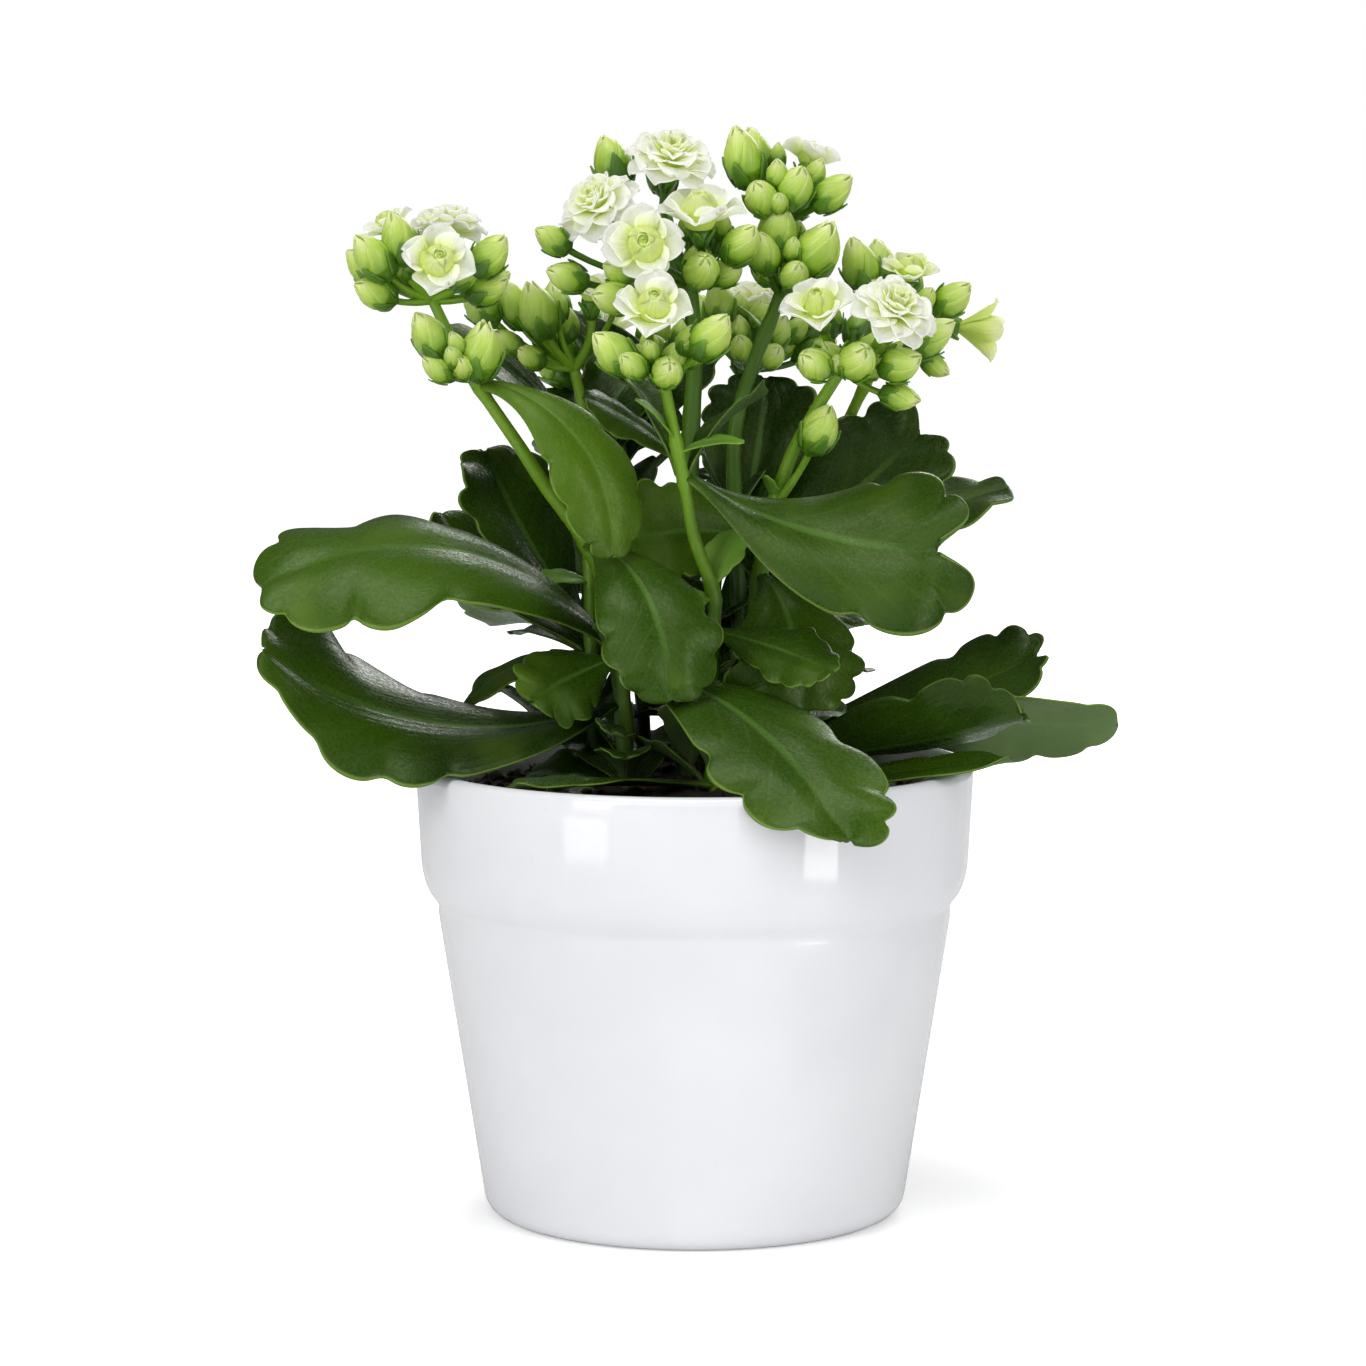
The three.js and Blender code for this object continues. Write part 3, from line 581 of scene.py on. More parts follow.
# Each stalk: its route from inside the soil to its last fork, its radius at the soil and at that fork,
# its heads as (fork, flowers), and its bracts. A flower is (bearing, elevation, reach, width, kind,
# facing bearing, facing elevation), a bud if no kind is given. A bract is (height, bearing, rise, fall,
# length, half width).
stalks = {
    "front": {
        "route": [(4, -9, 64), (4, -9, 92), (4, -10, 118), (4, -14, 130), (4, -16, 140), (0, -19, 152),
            (-2, -22, 163), (-4, -24, 173), (-7, -26, 188)],
        "radii": (1.8, 1.2),
        "heads": [((-7, -26, 188), [(258, 58, 18, 18, "half", 277, 42), (215, 24, 15, 8), (277, 10, 10, 6.4),
            (322, 34, 17, 7.6), (100, 30, 11, 6)])],
        "bracts": [(173, 205, 62, 30, 13, 3), (171, 348, 30, -10, 14, 3.2), (139, 205, 6, -6, 14, 6.5),
            (141, 40, 70, 40, 15, 5)]},
    "left": {
        "route": [(-15, -5, 64), (-15, -5, 92), (-17, -7, 127), (-22, -10, 147), (-33, -15, 164),
            (-38, -17, 172), (-48, -19, 187), (-53, -18, 196), (-57, -16, 204)],
        "radii": (2, 1.2),
        "heads": [((-57, -16, 204), [(68, 64, 18, 18, "full", 100, 74), (278, 33, 16, 17, "half", 282, 22),
            (162, 58, 19, 13, "half", 190, 60), (232, 52, 18, 7.4), (218, 32, 19, 7.6),
            (172, 26, 17, 6.6), (210, 8, 15, 6.6), (330, 34, 19, 7.2), (345, 12, 14, 6.4),
            (95, 22, 15, 7)]),
            ((-48, -19, 187), [(219, 40, 16, 7.4), (222, 16, 11, 5.6), (290, 52, 10, 8.4, "opening")])],
        "bracts": [(192, 160, 10, 50, 6, 1.8)]},
    "left_back": {
        "route": [(-22, 4, 64), (-22, 4, 92), (-23, 8, 125), (-24, 14, 158), (-25, 14, 178),
            (-27, 12, 188)],
        "radii": (1.9, 1.1),
        "heads": [((-27, 12, 188), [(208, 32, 28, 7), (213, 44, 22, 7), (236, 46, 21, 8.6, "opening"),
            (120, 60, 17, 7), (218, 14, 13, 5), (296, 62, 20, 13, "half", 270, 74), (75, 36, 17, 7)])],
        "bracts": [(140, 205, 20, -10, 12, 3.6), (116, 192, 30, 0, 12, 4)]},
    "centre": {
        "route": [(-2, 8, 64), (-2, 8, 92), (-1, 9, 136), (-1, 8, 170), (0, 5, 190), (-1, 1, 207)],
        "radii": (2.5, 1.7),
        "heads": [((-1, 1, 207), [(238, 74, 29, 21, "full", 290, 62), (212, 36, 30, 20, "full", 225, 46),
            (278, 46, 22, 20, "half", 265, 72), (248, 19, 28, 19, "half", 266, 14), (140, 50, 36, 8),
            (112, 56, 31, 7), (204, 17, 35, 5.6), (206, 4, 31, 6.4), (222, -6, 24, 7),
            (278, 12, 19, 7.4), (306, 26, 22, 7.2), (310, 14, 14, 6), (80, 34, 21, 7.5)])],
        "bracts": [(196, 200, 50, 30, 9, 2.4)]},
    "right_back": {
        "route": [(9, 5, 64), (9, 5, 92), (10, 7, 125), (9, 9, 154), (9, 9, 174), (13, 7, 189),
            (19, 5, 205), (19, 4, 213), (18, 3, 221)],
        "radii": (2.1, 1.3),
        "heads": [((19, 5, 205), [(264, 58, 18, 8.6, "opening"), (252, 36, 17, 7.2), (282, 18, 15, 6.2),
            (308, 38, 18, 9, "opening"), (80, 34, 18, 7.5)]),
            ((18, 3, 221), [(224, 54, 18, 8.6), (124, 60, 18, 8), (252, 24, 14, 6.6),
            (292, 36, 14, 7.2), (330, 24, 16, 6.8), (36, 56, 17, 13.5, "half"), (70, 14, 16, 6.5)])],
        "bracts": [(196, 150, 50, 30, 8, 2)]},
    "right": {
        "route": [(13, -3, 64), (13, -3, 92), (13, -3, 128), (15, -2, 148), (17, -3, 157),
            (21, -6, 169), (26, -10, 179), (32, -14, 189)],
        "radii": (2, 1.3),
        "heads": [((32, -14, 189), [(244, 48, 19, 17, "half", 252, 50), (306, 36, 23, 20, "full", 302, 48),
            (240, 8, 14, 7), (284, 12, 14, 7.8), (322, 6, 17, 7), (342, 20, 22, 7.4),
            (332, -22, 16, 5.6), (70, 34, 16, 6.8)]),
            ((18, -4, 159), [(319, 54, 22, 7.6, "bud", 320, 62)])],
        "bracts": [(159, 250, 60, 30, 8, 2)]},
    "far_right": {
        "route": [(18, 13, 64), (18, 13, 92), (21, 25, 130), (28, 31, 158), (37, 28, 180),
            (45, 16, 197)],
        "radii": (2, 1.1),
        "heads": [((45, 16, 197), [(222, 52, 19, 8), (118, 62, 16, 8), (292, 60, 15, 14, "half", 280, 70),
            (268, 22, 13, 6), (325, 24, 17, 6.6), (22, -2, 18, 13, "half", 10, -6), (75, 34, 17, 6.5),
            (318, -36, 15, 4.6)])],
        "bracts": [(183, 20, 50, 20, 8, 2)]},
    "back": {
        "route": [(3, 20, 64), (3, 20, 92), (4, 27, 130), (8, 32, 165), (12, 32, 187)],
        "radii": (2, 1.2),
        "heads": [((12, 32, 187), [(236, 54, 20, 6.5), (262, 26, 13, 5), (80, 58, 18, 18, "full"),
            (140, 44, 19, 7), (18, 36, 20, 7.4), (10, 14, 17, 6.4), (90, 6, 16, 7)])],
        "bracts": [(170, 100, 50, 20, 12, 3.2)]},
    "back_left": {
        "route": [(-11, 20, 64), (-11, 20, 92), (-13, 29, 130), (-16, 35, 160), (-19, 36, 182)],
        "radii": (1.9, 1.2),
        "heads": [((-19, 36, 182), [(100, 54, 17, 17, "half"), (20, 52, 18, 7), (55, 14, 17, 6.6),
            (150, 20, 17, 7.4), (190, 50, 17, 7)])],
        "bracts": [(168, 110, 50, 20, 12, 3.2)]},
}

# stalk, height on it, bearing, rise, fall, length, half width, roll, twist, cupping, outline, teeth, slant
leaves = {
    "left_upper": ("left", 129, 197, 50, -32, 86, 21, -20, -8, -22, "broad", 3, 6),
    "left_lower": ("left", 114, 197, -18, 40, 83, 19.5, -4, -46, -14, "broad", 4, -7),
    "left_standing": ("left_back", 132, 146, 42, 66, 46, 15, -10, 0, 18, "spoon", 3),
    "left_far": ("left_back", 126, 166, 36, 46, 44, 11, -24, 0, 20, "oval", 2),
    "left_arching": ("left", 185.5, 340, -8, -96, 51, 10, 30, 10, -16, "oval", 3),
    "centre_folded": ("left_back", 127, 0, 84, 88, 35, 6, 0, 0, 34, "lance", 3),
    "left_high": ("left_back", 172, 176, 50, 28, 40, 8.5, -20, 0, 14, "oval", 3),
    "centre_dark": ("centre", 176, 160, 52, 34, 36, 6, -30, 0, 12, "lance", 2),
    "centre_small": ("centre", 168, 200, 44, 20, 26, 7, -34, 0, -16, "oval", 3),
    "right_inner_high": ("right_back", 152, 62, 56, 84, 36, 14, 10, 0, 22, "spoon", 3),
    "right_standing": ("right_back", 143, 18, 30, 42, 54, 15, 48, 0, 14, "spoon", 3),
    "right_front": ("front", 165, 349, -32, 8, 64, 19, 16, 54, -18, "spoon", 2),
    "right_inner": ("right", 151, 200, 14, -14, 32, 12, -62, 0, 14, "spoon", 3),
    "centre_front": ("left", 150, 302, 0, -86, 50, 13, 10, 10, -20, "spoon", 3),
    "low_left": ("left", 124, 214, -10, -30, 22, 10, -46, 0, -12, "oval", 3),
    "left_small": ("left_back", 124, 196, 4, -46, 30, 5, -20, 0, -10, "lance", 3),
    "low_centre": ("left", 109, 262, 12, -4, 13, 4.5, -20, 0, 12, "oval", 2),
    "front_rim": ("left", 122, 309, 3, -46, 83, 16, 0, 22, -8, "spoon", 3, 6),
    "rim_pale": ("front", 97, 217, 8, 0, 52, 8, 2, 0, 8, "oval", 3),
    "right_glossy": ("right", 142, 296, -22, -90, 35, 15, 10, 0, -16, "spoon", 3),
    "front_right": ("front", 131, 318, -4, -18, 33, 7, 42, 0, -10, "oval", 4),
    "right_lobed": ("far_right", 140, 4, 32, 14, 50, 10, 26, 0, 14, "spoon", 2),
    "right_low_back": ("far_right", 106, 352, 6, 30, 62, 13, 34, 0, 14, "spoon", 3),
    "right_low_front": ("right", 103, 338, 4, 18, 62, 14, -34, 0, 46, "spoon", 3),
    "right_tip": ("right_back", 101.5, 352, 16, -4, 83, 12, -20, -30, -14, "oval", 3),
    "right_rim": ("right", 95, 330, 10, 10, 62, 7.5, 14, 0, 10, "lance", 3),
    "back_left": ("back_left", 118, 128, 28, -14, 58, 14, 10, 0, 16, "spoon", 3),
    "back_right": ("back", 118, 58, 26, -16, 60, 14, -10, 0, 14, "spoon", 3),
    "back_low": ("back", 104, 98, 16, 0, 58, 14, 0, 0, 16, "spoon", 3),
    "back_upper": ("back", 128, 28, 30, -10, 40, 15, 34, 0, 12, "spoon", 3),
    "back_upper_left": ("back_left", 134, 150, 30, 0, 42, 14, -30, 0, 12, "spoon", 3),
}


# a midrib bends evenly from elevation rise to elevation fall, and its roll grows evenly by twist
def midrib(root, bearing, rise, fall, length, roll, twist=0):
    steps = 24
    points = [root.copy()]
    for i in range(steps):
        points.append(points[i] + towards(bearing, rise + (fall - rise) * (i + 0.5) / steps) * length / steps)

    def frameAt(a):
        i = min(max(floor(a * steps), 0), steps - 1)
        along = towards(bearing, rise + (fall - rise) * a)
        level = towards(bearing + 90, 0)
        lift = along.cross(level)
        turn = radians(roll + twist * a)
        at = points[i] + (points[i + 1] - points[i]) * (a * steps - i)
        side = level * cos(turn) + lift * sin(turn)
        return at, side, lift * cos(turn) - level * sin(turn)

    return frameAt


# share of the length at the waist, squareness of the end, share of the margin before the teeth,
# narrowness of the foot
outlines = {
    "spoon": (0.66, 0.7, 0.42, 0.75), "oval": (0.6, 0.85, 0.36, 0.75),
    "broad": (0.6, 0.85, 0.36, 0.45), "lance": (0.5, 1.2, 0.3, 0.75),
}
# how deep the notch at the tip is
clefts = {"right_front": 8, "right_low_back": 3, "right_standing": 3, "left_upper": 2}

leafShape = {
    "rows": 52, "smallRows": 32, "columns": 12, "smallColumns": 8, "smallWidth": 9,
    "thickness": 2.25, "smallThickness": 1.8, "petiole": 1.6, "turning": 0.42,
    "wave": 0.085, "crease": 0.5, "creaseHalf": 0.14, "fold": 0.16, "notchHalf": 0.24, "leastHalf": 0.3,
    "toothDepth": 0.27, "toothLift": 0.027, "crowding": 0.045, "gap": 0.3, "footLift": 0.98,
}


# one blade as rows for sheetObject; v runs along the margin from foot to tip, c from -1 to 1 across
def bladeSheet(frameAt, length, halfWidth, cup, outline, teeth, start, seed, rows, columns,
               petiole=leafShape["petiole"], wave=1.0, slant=0, cleft=0):
    s = leafShape
    draw = random.Random(seed)
    waist, square, plain, narrow = outlines[outline]
    turning = s["turning"]
    depth = s["toothDepth"] * halfWidth
    phase = [draw.uniform(0, 6.28) for _ in range(4)]
    waves = draw.uniform(1.3, 2.2)
    uneven = [[draw.uniform(0.45, 1.35) for _ in range(teeth + 2)] for _ in range(2)]
    drift = [draw.uniform(0, 6.28) for _ in range(2)]
    bend = radians(cup if abs(cup) >= 1 else 1)

    def margin(v):
        if v < turning:
            spread = (0.5 - 0.5 * cos(pi * v / turning)) ** narrow
            return v / turning * waist, petiole + (halfWidth - petiole) * spread, 0
        turn = (v - turning) / (1 - turning) * pi / 2
        return waist + (1 - waist) * sin(turn), halfWidth * max(cos(turn), 0) ** square, turn

    def lobe(v, sideIndex):
        spread = (v - plain) / (1 - plain)
        crowding = s["crowding"] * sin(fullTurn * spread) * sin(4 * spread + drift[sideIndex])
        u = teeth * (spread + crowding)
        if u <= 0:
            return -0.6 * depth * smooth(plain - 0.05, plain, v) if teeth else 0
        part = u - floor(u)
        size = uneven[sideIndex][min(int(u), teeth)]
        return depth * (-0.6 + 1.15 * size ** 0.6 * sin(pi * part) ** 0.42)

    sheet = []
    for i in range(-1, rows + 1):
        v = min(max(i, 0) / rows, 0.988)
        a, half, turn = margin(v)
        line = []
        for c in evenly(columns):
            c = copysign(abs(c) ** 0.85, c)
            share = abs(c)
            out = lobe(v, 0 if c < 0 else 1)
            along = a - 0.2 * half / length
            edge = a + 0.5 * out * sin(turn) / length
            along = max(along, 0) + (edge - max(along, 0)) * share ** 2
            reach = half + max(out * cos(turn), s["leastHalf"] - half) * share ** 3
            along += c * slant * half / halfWidth / length * smooth(0.35, 0.8, a)
            notch = exp(-(share * reach / (s["notchHalf"] * halfWidth)) ** 2) * smooth(0.55, 0.95, a)
            along -= cleft / length * notch
            if i < 0:
                along = -start / length
            at, side, lift = frameAt(along)
            angle = bend * share
            ripple = sin(fullTurn * waves * v + phase[0 if c < 0 else 1]) * share ** 2.5
            ripple += 0.5 * sin(fullTurn * 3.1 * v + phase[2]) * c
            fade = smooth(0.1, 0.5, v)
            height = reach * (1 - cos(angle)) / bend
            height += s["fold"] * reach * share * (1 - share)
            height += wave * s["wave"] * halfWidth * ripple * fade
            height -= s["crease"] * exp(-(share / s["creaseHalf"]) ** 2) * min(half / 8, 1)
            height += s["toothLift"] * (out / max(depth, 0.1)) * halfWidth * share ** 3
            place = at + side * (copysign(1, c) * reach * sin(angle) / bend) + lift * height
            thick = 1 - 0.5 * share ** 2.5
            thick *= 1 + 0.5 * (1 - smooth(0.0, 0.2, v))
            line.append((place, (0.5 + 0.5 * c, v), min(thick, 1.5) / 1.5))
        sheet.append(line)
    return sheet


bladePoints = []
# leaves in the light take the lighter copy of the leaf colours and leaves in shade the darker one, also for
# one underside in shade: painted light and painted shade
litLeaves = ("left_arching", "centre_front", "front_rim", "front_right", "centre_folded",
               "rim_pale", "low_left", "right_glossy", "right_inner")
shadedLeaves = ("left_lower", "left_standing", "left_far", "right_standing", "right_inner_high",
             "right_low_back", "right_low_front", "left_high", "centre_dark")
shadedBacks = ("right_low_front",)


def makeLeaf(name, spec, number):
    s = leafShape
    stalk, z, bearing, rise, fall, length, halfWidth, roll, twist, cup, outline, teeth = spec[:12]
    at, radius = stalkAt(stalk, z)
    clear = radius + s["gap"] + s["footLift"] * abs(sin(radians(rise)))
    frameAt = midrib(at + towards(bearing, 0) * clear, bearing, rise, fall, length, roll, twist)
    rows, columns, thickness = s["rows"], s["columns"], s["thickness"]
    if halfWidth < s["smallWidth"]:
        rows, columns, thickness = s["smallRows"], s["smallColumns"], s["smallThickness"]
    sheet = bladeSheet(frameAt, length, halfWidth, cup, outline, teeth, clear - 0.5 * radius, number,
                       rows, columns, slant=spec[12] if len(spec) > 12 else 0, cleft=clefts.get(name, 0))
    bladePoints.extend(place for row in sheet for place, uv, weight in row)
    face = leafLit if name in litLeaves else leafShaded if name in shadedLeaves else leafTop
    back = leafShaded if name in shadedBacks else leafBack
    obj = sheetObject("blade_" + name, [sheet], thickness, (face, back))
    finishPiece(obj, "leaf_" + name)


stalkShape = {"flowerStem": 0.85, "stemSteps": 8, "bow": 0.45, "nodeSwell": 0.28, "nodeLength": 1.6}


# where a stalk's axis passes a height, and its level radius there
def stalkAt(name, z):
    route, (low, high) = stalks[name]["route"], stalks[name]["radii"]
    i = max(next(k for k, place in enumerate(route) if place[2] >= z), 1)
    a, b = Vector(route[i - 1]), Vector(route[i])
    share = (z - a.z) / (b.z - a.z)
    whole = (i - 1 + share) / (len(route) - 1)
    return a.lerp(b, share), (low + (high - low) * whole) / (b - a).normalized().z


# a smooth line through points, with the same number of steps between each two
def throughPoints(points, steps=5):
    ends = [points[0] * 2 - points[1], *points, points[-1] * 2 - points[-2]]
    line = []
    for k in range(1, len(ends) - 2):
        a, b, c, d = ends[k - 1:k + 3]
        for n in range(steps):
            t = n / steps
            line.append(0.5 * (2 * b + (c - a) * t + (2 * a - 5 * b + 4 * c - d) * t ** 2
                               + (3 * b - a - 3 * c + d) * t ** 3))
    return line + [points[-1]]


# the flowers of a stalk, each with the fork that it grows from
def ownFlowers(name):
    return [(fork, flower) for fork, flowers in stalks[name]["heads"] for flower in flowers]


def kindOf(flower):
    return flower[4] if len(flower) > 4 else "bud"


def isOpen(flower):
    return kindOf(flower) in ("half", "full")


halfHeight = {"bud": 0.66, "opening": 0.74, "half": 0.2, "full": 0.2}  # shares of the width
cupHeight = 4.9
faceLift, steepest = 14, 86  # a flower faces that much higher than its stem points


# a flower's base, the way it faces, and where its short stem ends
def flowerPlace(fork, flower):
    bearing, elevation, reach, width = flower[:4]
    axis = towards(*flower[5:]) if flower[5:] else towards(bearing, min(elevation + faceLift, steepest))
    base = Vector(fork) + towards(bearing, elevation) * reach - axis * (halfHeight[kindOf(flower)] * width)
    return base, axis, base - axis * cupHeight if isOpen(flower) else base


# one curve object with a tube along each line of points
def tubesObject(name, tubes):
    data = bpy.data.curves.new(name, "CURVE")
    data.dimensions = "3D"
    data.bevel_depth = mm
    data.bevel_resolution = 3
    data.use_fill_caps = True
    for points, radii in tubes:
        spline = data.splines.new("POLY")
        spline.points.add(len(points) - 1)
        for target, place, radius in zip(spline.points, points, radii):
            target.co = (*(place * mm), 1)
            target.radius = radius
    obj = bpy.data.objects.new(name, data)
    scene.collection.objects.link(obj)
    activate(obj)
    bpy.ops.object.convert(target="MESH")
    return bpy.context.object


def makeStems(name):
    s = stalkShape
    spec = stalks[name]
    low, high = spec["radii"]
    line = throughPoints([Vector(p) for p in spec["route"]], 6)
    nodes = [leaf[1] for leaf in leaves.values() if leaf[0] == name] + [b[0] for b in spec["bracts"]]
    radii = []
    for k, place in enumerate(line):
        swell = max([exp(-((place.z - z) / s["nodeLength"]) ** 2) for z in nodes] + [0])
        radii.append((low + (high - low) * k / (len(line) - 1)) * (1 + s["nodeSwell"] * swell))
    tubes = [(line, radii)]
    for start, flower in ownFlowers(name) + extraBuds[name]:
        fork = Vector(start)
        base, axis, foot = flowerPlace(start, flower)
        bowed = foot - axis * (s["bow"] * (foot - fork).length)
        points = bentLine(fork, bowed, foot, s["stemSteps"]) + [foot + axis * 0.6]
        thick = s["flowerStem"] * (0.62 + 0.05 * min(flower[3], 9))
        tubes.append((points, [thick * (1.35 - 0.4 * min(k / 4, 1) + 0.25 * smooth(6, 9, k))
                               for k in range(len(points))]))
    return tubesObject("stems_" + name, tubes)


# shares of a bud's width
budShape = {
    "turns": 16, "rings": 12, "stemEnd": -0.40, "petals": 4, "petalFoot": 0.30, "twist": 1.15,
    "overlap": 0.034, "petalThickness": 0.035, "sepals": 4, "sepalFoot": 0.14, "sepalLength": 0.44,
    "sepalHalf": 0.50, "sepalThickness": 0.05, "coreGap": 0.03, "bluntCoreGap": 0.16,
}


# radius of a bud one wide at a share of its height, from its stem to its tip
def budRadius(share, blunt):
    radius = 0.5 * sin(pi * (0.07 + 0.93 * share ** 0.95)) ** 0.75 if share < 1 else 0
    if blunt:
        radius = max(radius, 0.5 * (1 - 0.80 * smooth(0.50, 1.05, share)) * smooth(0, 0.5, share))
    return radius


# a bud one millimetre wide on the origin, facing +Z: a core, furled petals and small sepals
def budTemplate(name, height, blunt):
    s = budShape
    low = s["stemEnd"]
    bpy.ops.mesh.primitive_uv_sphere_add(segments=s["turns"], ring_count=s["rings"], radius=1)
    core = bpy.context.object
    core.name = name
    top = height - s["bluntCoreGap" if blunt else "coreGap"]
    for vertex in core.data.vertices:
        x, y, z = vertex.co
        share = 1 - acos(min(max(z, -1), 1)) / pi
        radius = budRadius(share, blunt) * (0.97 if share < 0.97 else 0)
        vertex.co = around(radius, atan2(y, x), low + (top - low) * share) * mm
    core.data.uv_layers[0].name = "surface"
    for uv in core.data.uv_layers[0].data:
        uv.uv[1] *= 0.55
    sheets = []
    for k in range(s["petals"]):
        def petalPoint(t, c):
            share = s["petalFoot"] + (1 - s["petalFoot"]) * t * (1 - 0.13 * c * c * t)
            spread = pi / s["petals"] * 1.42 * (1 - 0.45 * smooth(0.7, 1, t))
            angle = fullTurn * k / s["petals"] + s["twist"] * t + spread * c
            radius = budRadius(min(share, 0.985), blunt) * (1.015 - s["overlap"] * c)
            return around(radius, angle, low + (height - low) * share), 0.22 + 0.78 * t

        sheets.append(sheetRows(8, (-1, -0.72, -0.36, 0, 0.36, 0.72, 1), petalPoint))
    petals = sheetObject("furledPetals", sheets, s["petalThickness"], levels=0)

    def sepalPoint(t, middle, c):
        share = s["sepalFoot"] + s["sepalLength"] * t
        radius = budRadius(share, blunt) + 0.045 + 0.07 * smooth(0.55, 1, t)
        wide = s["sepalHalf"] * (1 - t ** 1.5) + 0.03
        return around(radius, middle + wide * c, low + (height - low) * share), 0.02 + 0.18 * t

    sepals = sepalSheets(s["sepals"], 0.4, sepalPoint)
    return joined([core, petals, sheetObject("budSepals", sepals, s["sepalThickness"], levels=0)])


def sepalSheets(count, start, point):
    middles = [fullTurn * (k + start) / count for k in range(count)]
    return [sheetRows(6, (1, 0.5, 0, -0.5, -1), lambda t, c: point(t, middle, c)) for middle in middles]


cupShape = {
    "sepals": 4, "half": 0.72, "foot": 0.25, "rise": 0.80, "thickness": 0.09, "tubeFoot": 0.19,
    "tubeTop": 0.44, "turns": 14,
}


# the green cup under an open flower, one millimetre high
def cupTemplate():
    s = cupShape

    def sepalPoint(t, middle, c):
        wide = s["half"] * (1 - t ** 1.7) + 0.05
        place = around(0.27 + 0.40 * t ** 1.3, middle + wide * c, s["foot"] + s["rise"] * t)
        return place, 0.02 + 0.2 * t

    sepals = sheetObject("cupSepals", sepalSheets(s["sepals"], 0.2, sepalPoint), s["thickness"], levels=0)
    bpy.ops.mesh.primitive_cone_add(vertices=s["turns"], radius1=s["tubeFoot"] * mm,
                                    radius2=s["tubeTop"] * mm, depth=mm)
    tube = bpy.context.object
    for vertex in tube.data.vertices:
        vertex.co.z += 0.5 * mm
    tube.data.uv_layers[0].name = "surface"
    for loop in tube.data.loops:
        height = tube.data.vertices[loop.vertex_index].co.z / mm
        tube.data.uv_layers[0].data[loop.index].uv = (0.5, 0.14 * height)
    return joined([tube, sepals])


def placedCopy(template, base, axis, spin, widthScale, heightScale):
    copy = copyOf(template)
    turn = up.rotation_difference(axis).to_matrix().to_4x4() @ Matrix.Rotation(spin, 4, "Z")
    scale = Matrix.Diagonal((widthScale, widthScale, heightScale, 1))
    copy.data.transform(Matrix.Translation(base * mm) @ turn @ scale)
    return copy


headShape = {
    "swell": 1.02, "extras": 8, "tries": 110, "reach": (0.45, 1.0), "width": (3.6, 6.0), "scatter": 0.25,
    "overlap": 0.84,
}
extraBuds = {}


# small late buds that fill the space among a head's own flowers
def findExtraBuds():
    s = headShape
    draw = random.Random(71)
    taken = []
    for name in stalks:
        for fork, flower in ownFlowers(name):
            base, axis, foot = flowerPlace(fork, flower)
            taken.append((base + axis * (halfHeight[kindOf(flower)] * flower[3]), flower[3] / 2))
    for name, spec in stalks.items():
        extraBuds[name] = []
        for fork, flowers in spec["heads"]:
            reach = sum(f[2] for f in flowers) / len(flowers)
            found = 0
            for _ in range(s["tries"]):
                if found == s["extras"] or len(flowers) < 3:
                    break
                first, second = draw.sample(flowers, 2)
                share = draw.uniform(0.3, 0.7)
                aim = towards(*first[:2]) * share + towards(*second[:2]) * (1 - share)
                scatter = Vector([draw.uniform(-s["scatter"], s["scatter"]) for _ in range(3)])
                aim = (aim + scatter).normalized()
                width = draw.uniform(*s["width"])
                far = reach * draw.uniform(*s["reach"])
                centre = Vector(fork) + aim * far
                if centre.z < fork[2] - 2:
                    continue
                gap = s["overlap"]
                if all((centre - place).length > gap * (radius + width / 2) for place, radius in taken):
                    found += 1
                    taken.append((centre, width / 2))
                    bearing = degrees(atan2(aim.y, aim.x))
                    extraBuds[name].append((fork, (bearing, degrees(asin(aim.z)), far, width)))


def makeBuds(name, templates, number):
    draw = random.Random(40 + number)
    copies = []
    for fork, flower in ownFlowers(name) + extraBuds[name]:
        base, axis, foot = flowerPlace(fork, flower)
        width = flower[3] * headShape["swell"]
        spin = draw.uniform(0, 6.28)
        if isOpen(flower):
            copies.append(placedCopy(templates["cup"], foot, axis, spin, cupHeight, cupHeight))
        else:
            sizes = (width * draw.uniform(0.96, 1.04), width * draw.uniform(0.94, 1.06))
            copies.append(placedCopy(templates[kindOf(flower)], base, axis, spin, *sizes))
    whole = joined(copies)
    whole.name = "buds_" + name
    whole.data.materials.clear()
    return whole


# a whorl is petals, tip radius, tip height, arch, half width, cup, green share at the foot; shares of
# the flower's width
flowerShape = {
    "full": [(7, 0.51, 0.06, 0.11, 0.200, 0.12, 0.00), (7, 0.47, 0.16, 0.13, 0.190, 0.15, 0.00),
             (6, 0.39, 0.25, 0.13, 0.170, 0.20, 0.05), (6, 0.30, 0.32, 0.11, 0.140, 0.26, 0.12),
             (5, 0.20, 0.37, 0.08, 0.110, 0.30, 0.25), (4, 0.10, 0.40, 0.04, 0.080, 0.30, 0.40)],
    "half": [(4, 0.50, 0.26, -0.04, 0.270, 0.22, 0.00), (3, 0.41, 0.34, -0.08, 0.220, 0.26, 0.08)],
    "trumpet": [(4, 0.57, 0.66, 0.06, 0.270, 0.34, 0.52), (3, 0.30, 0.50, 0.06, 0.180, 0.30, 0.60)],
    "thickness": 0.30, "ballRadius": 0.225, "ballHeight": 0.44, "ballPetals": 9, "margin": 0.10,
    "ballTurn": 2.4, "trumpetFoot": -0.04, "footRadius": 0.045,
}


# petal width at a share of its length: narrow foot, round end
def petalWidth(t):
    spread = 0.28 + 0.72 * smooth(0.0, 0.62, t)
    return spread * sqrt(max(1 - max((t - 0.62) / 0.385, 0) ** 2, 0))


# value and slope at t of a curve from a to c that leaves towards b
def curveAt(a, b, c, t):
    return (1 - t) ** 2 * a + 2 * t * (1 - t) * b + t ** 2 * c, 2 * (1 - t) * (b - a) + 2 * t * (c - b)


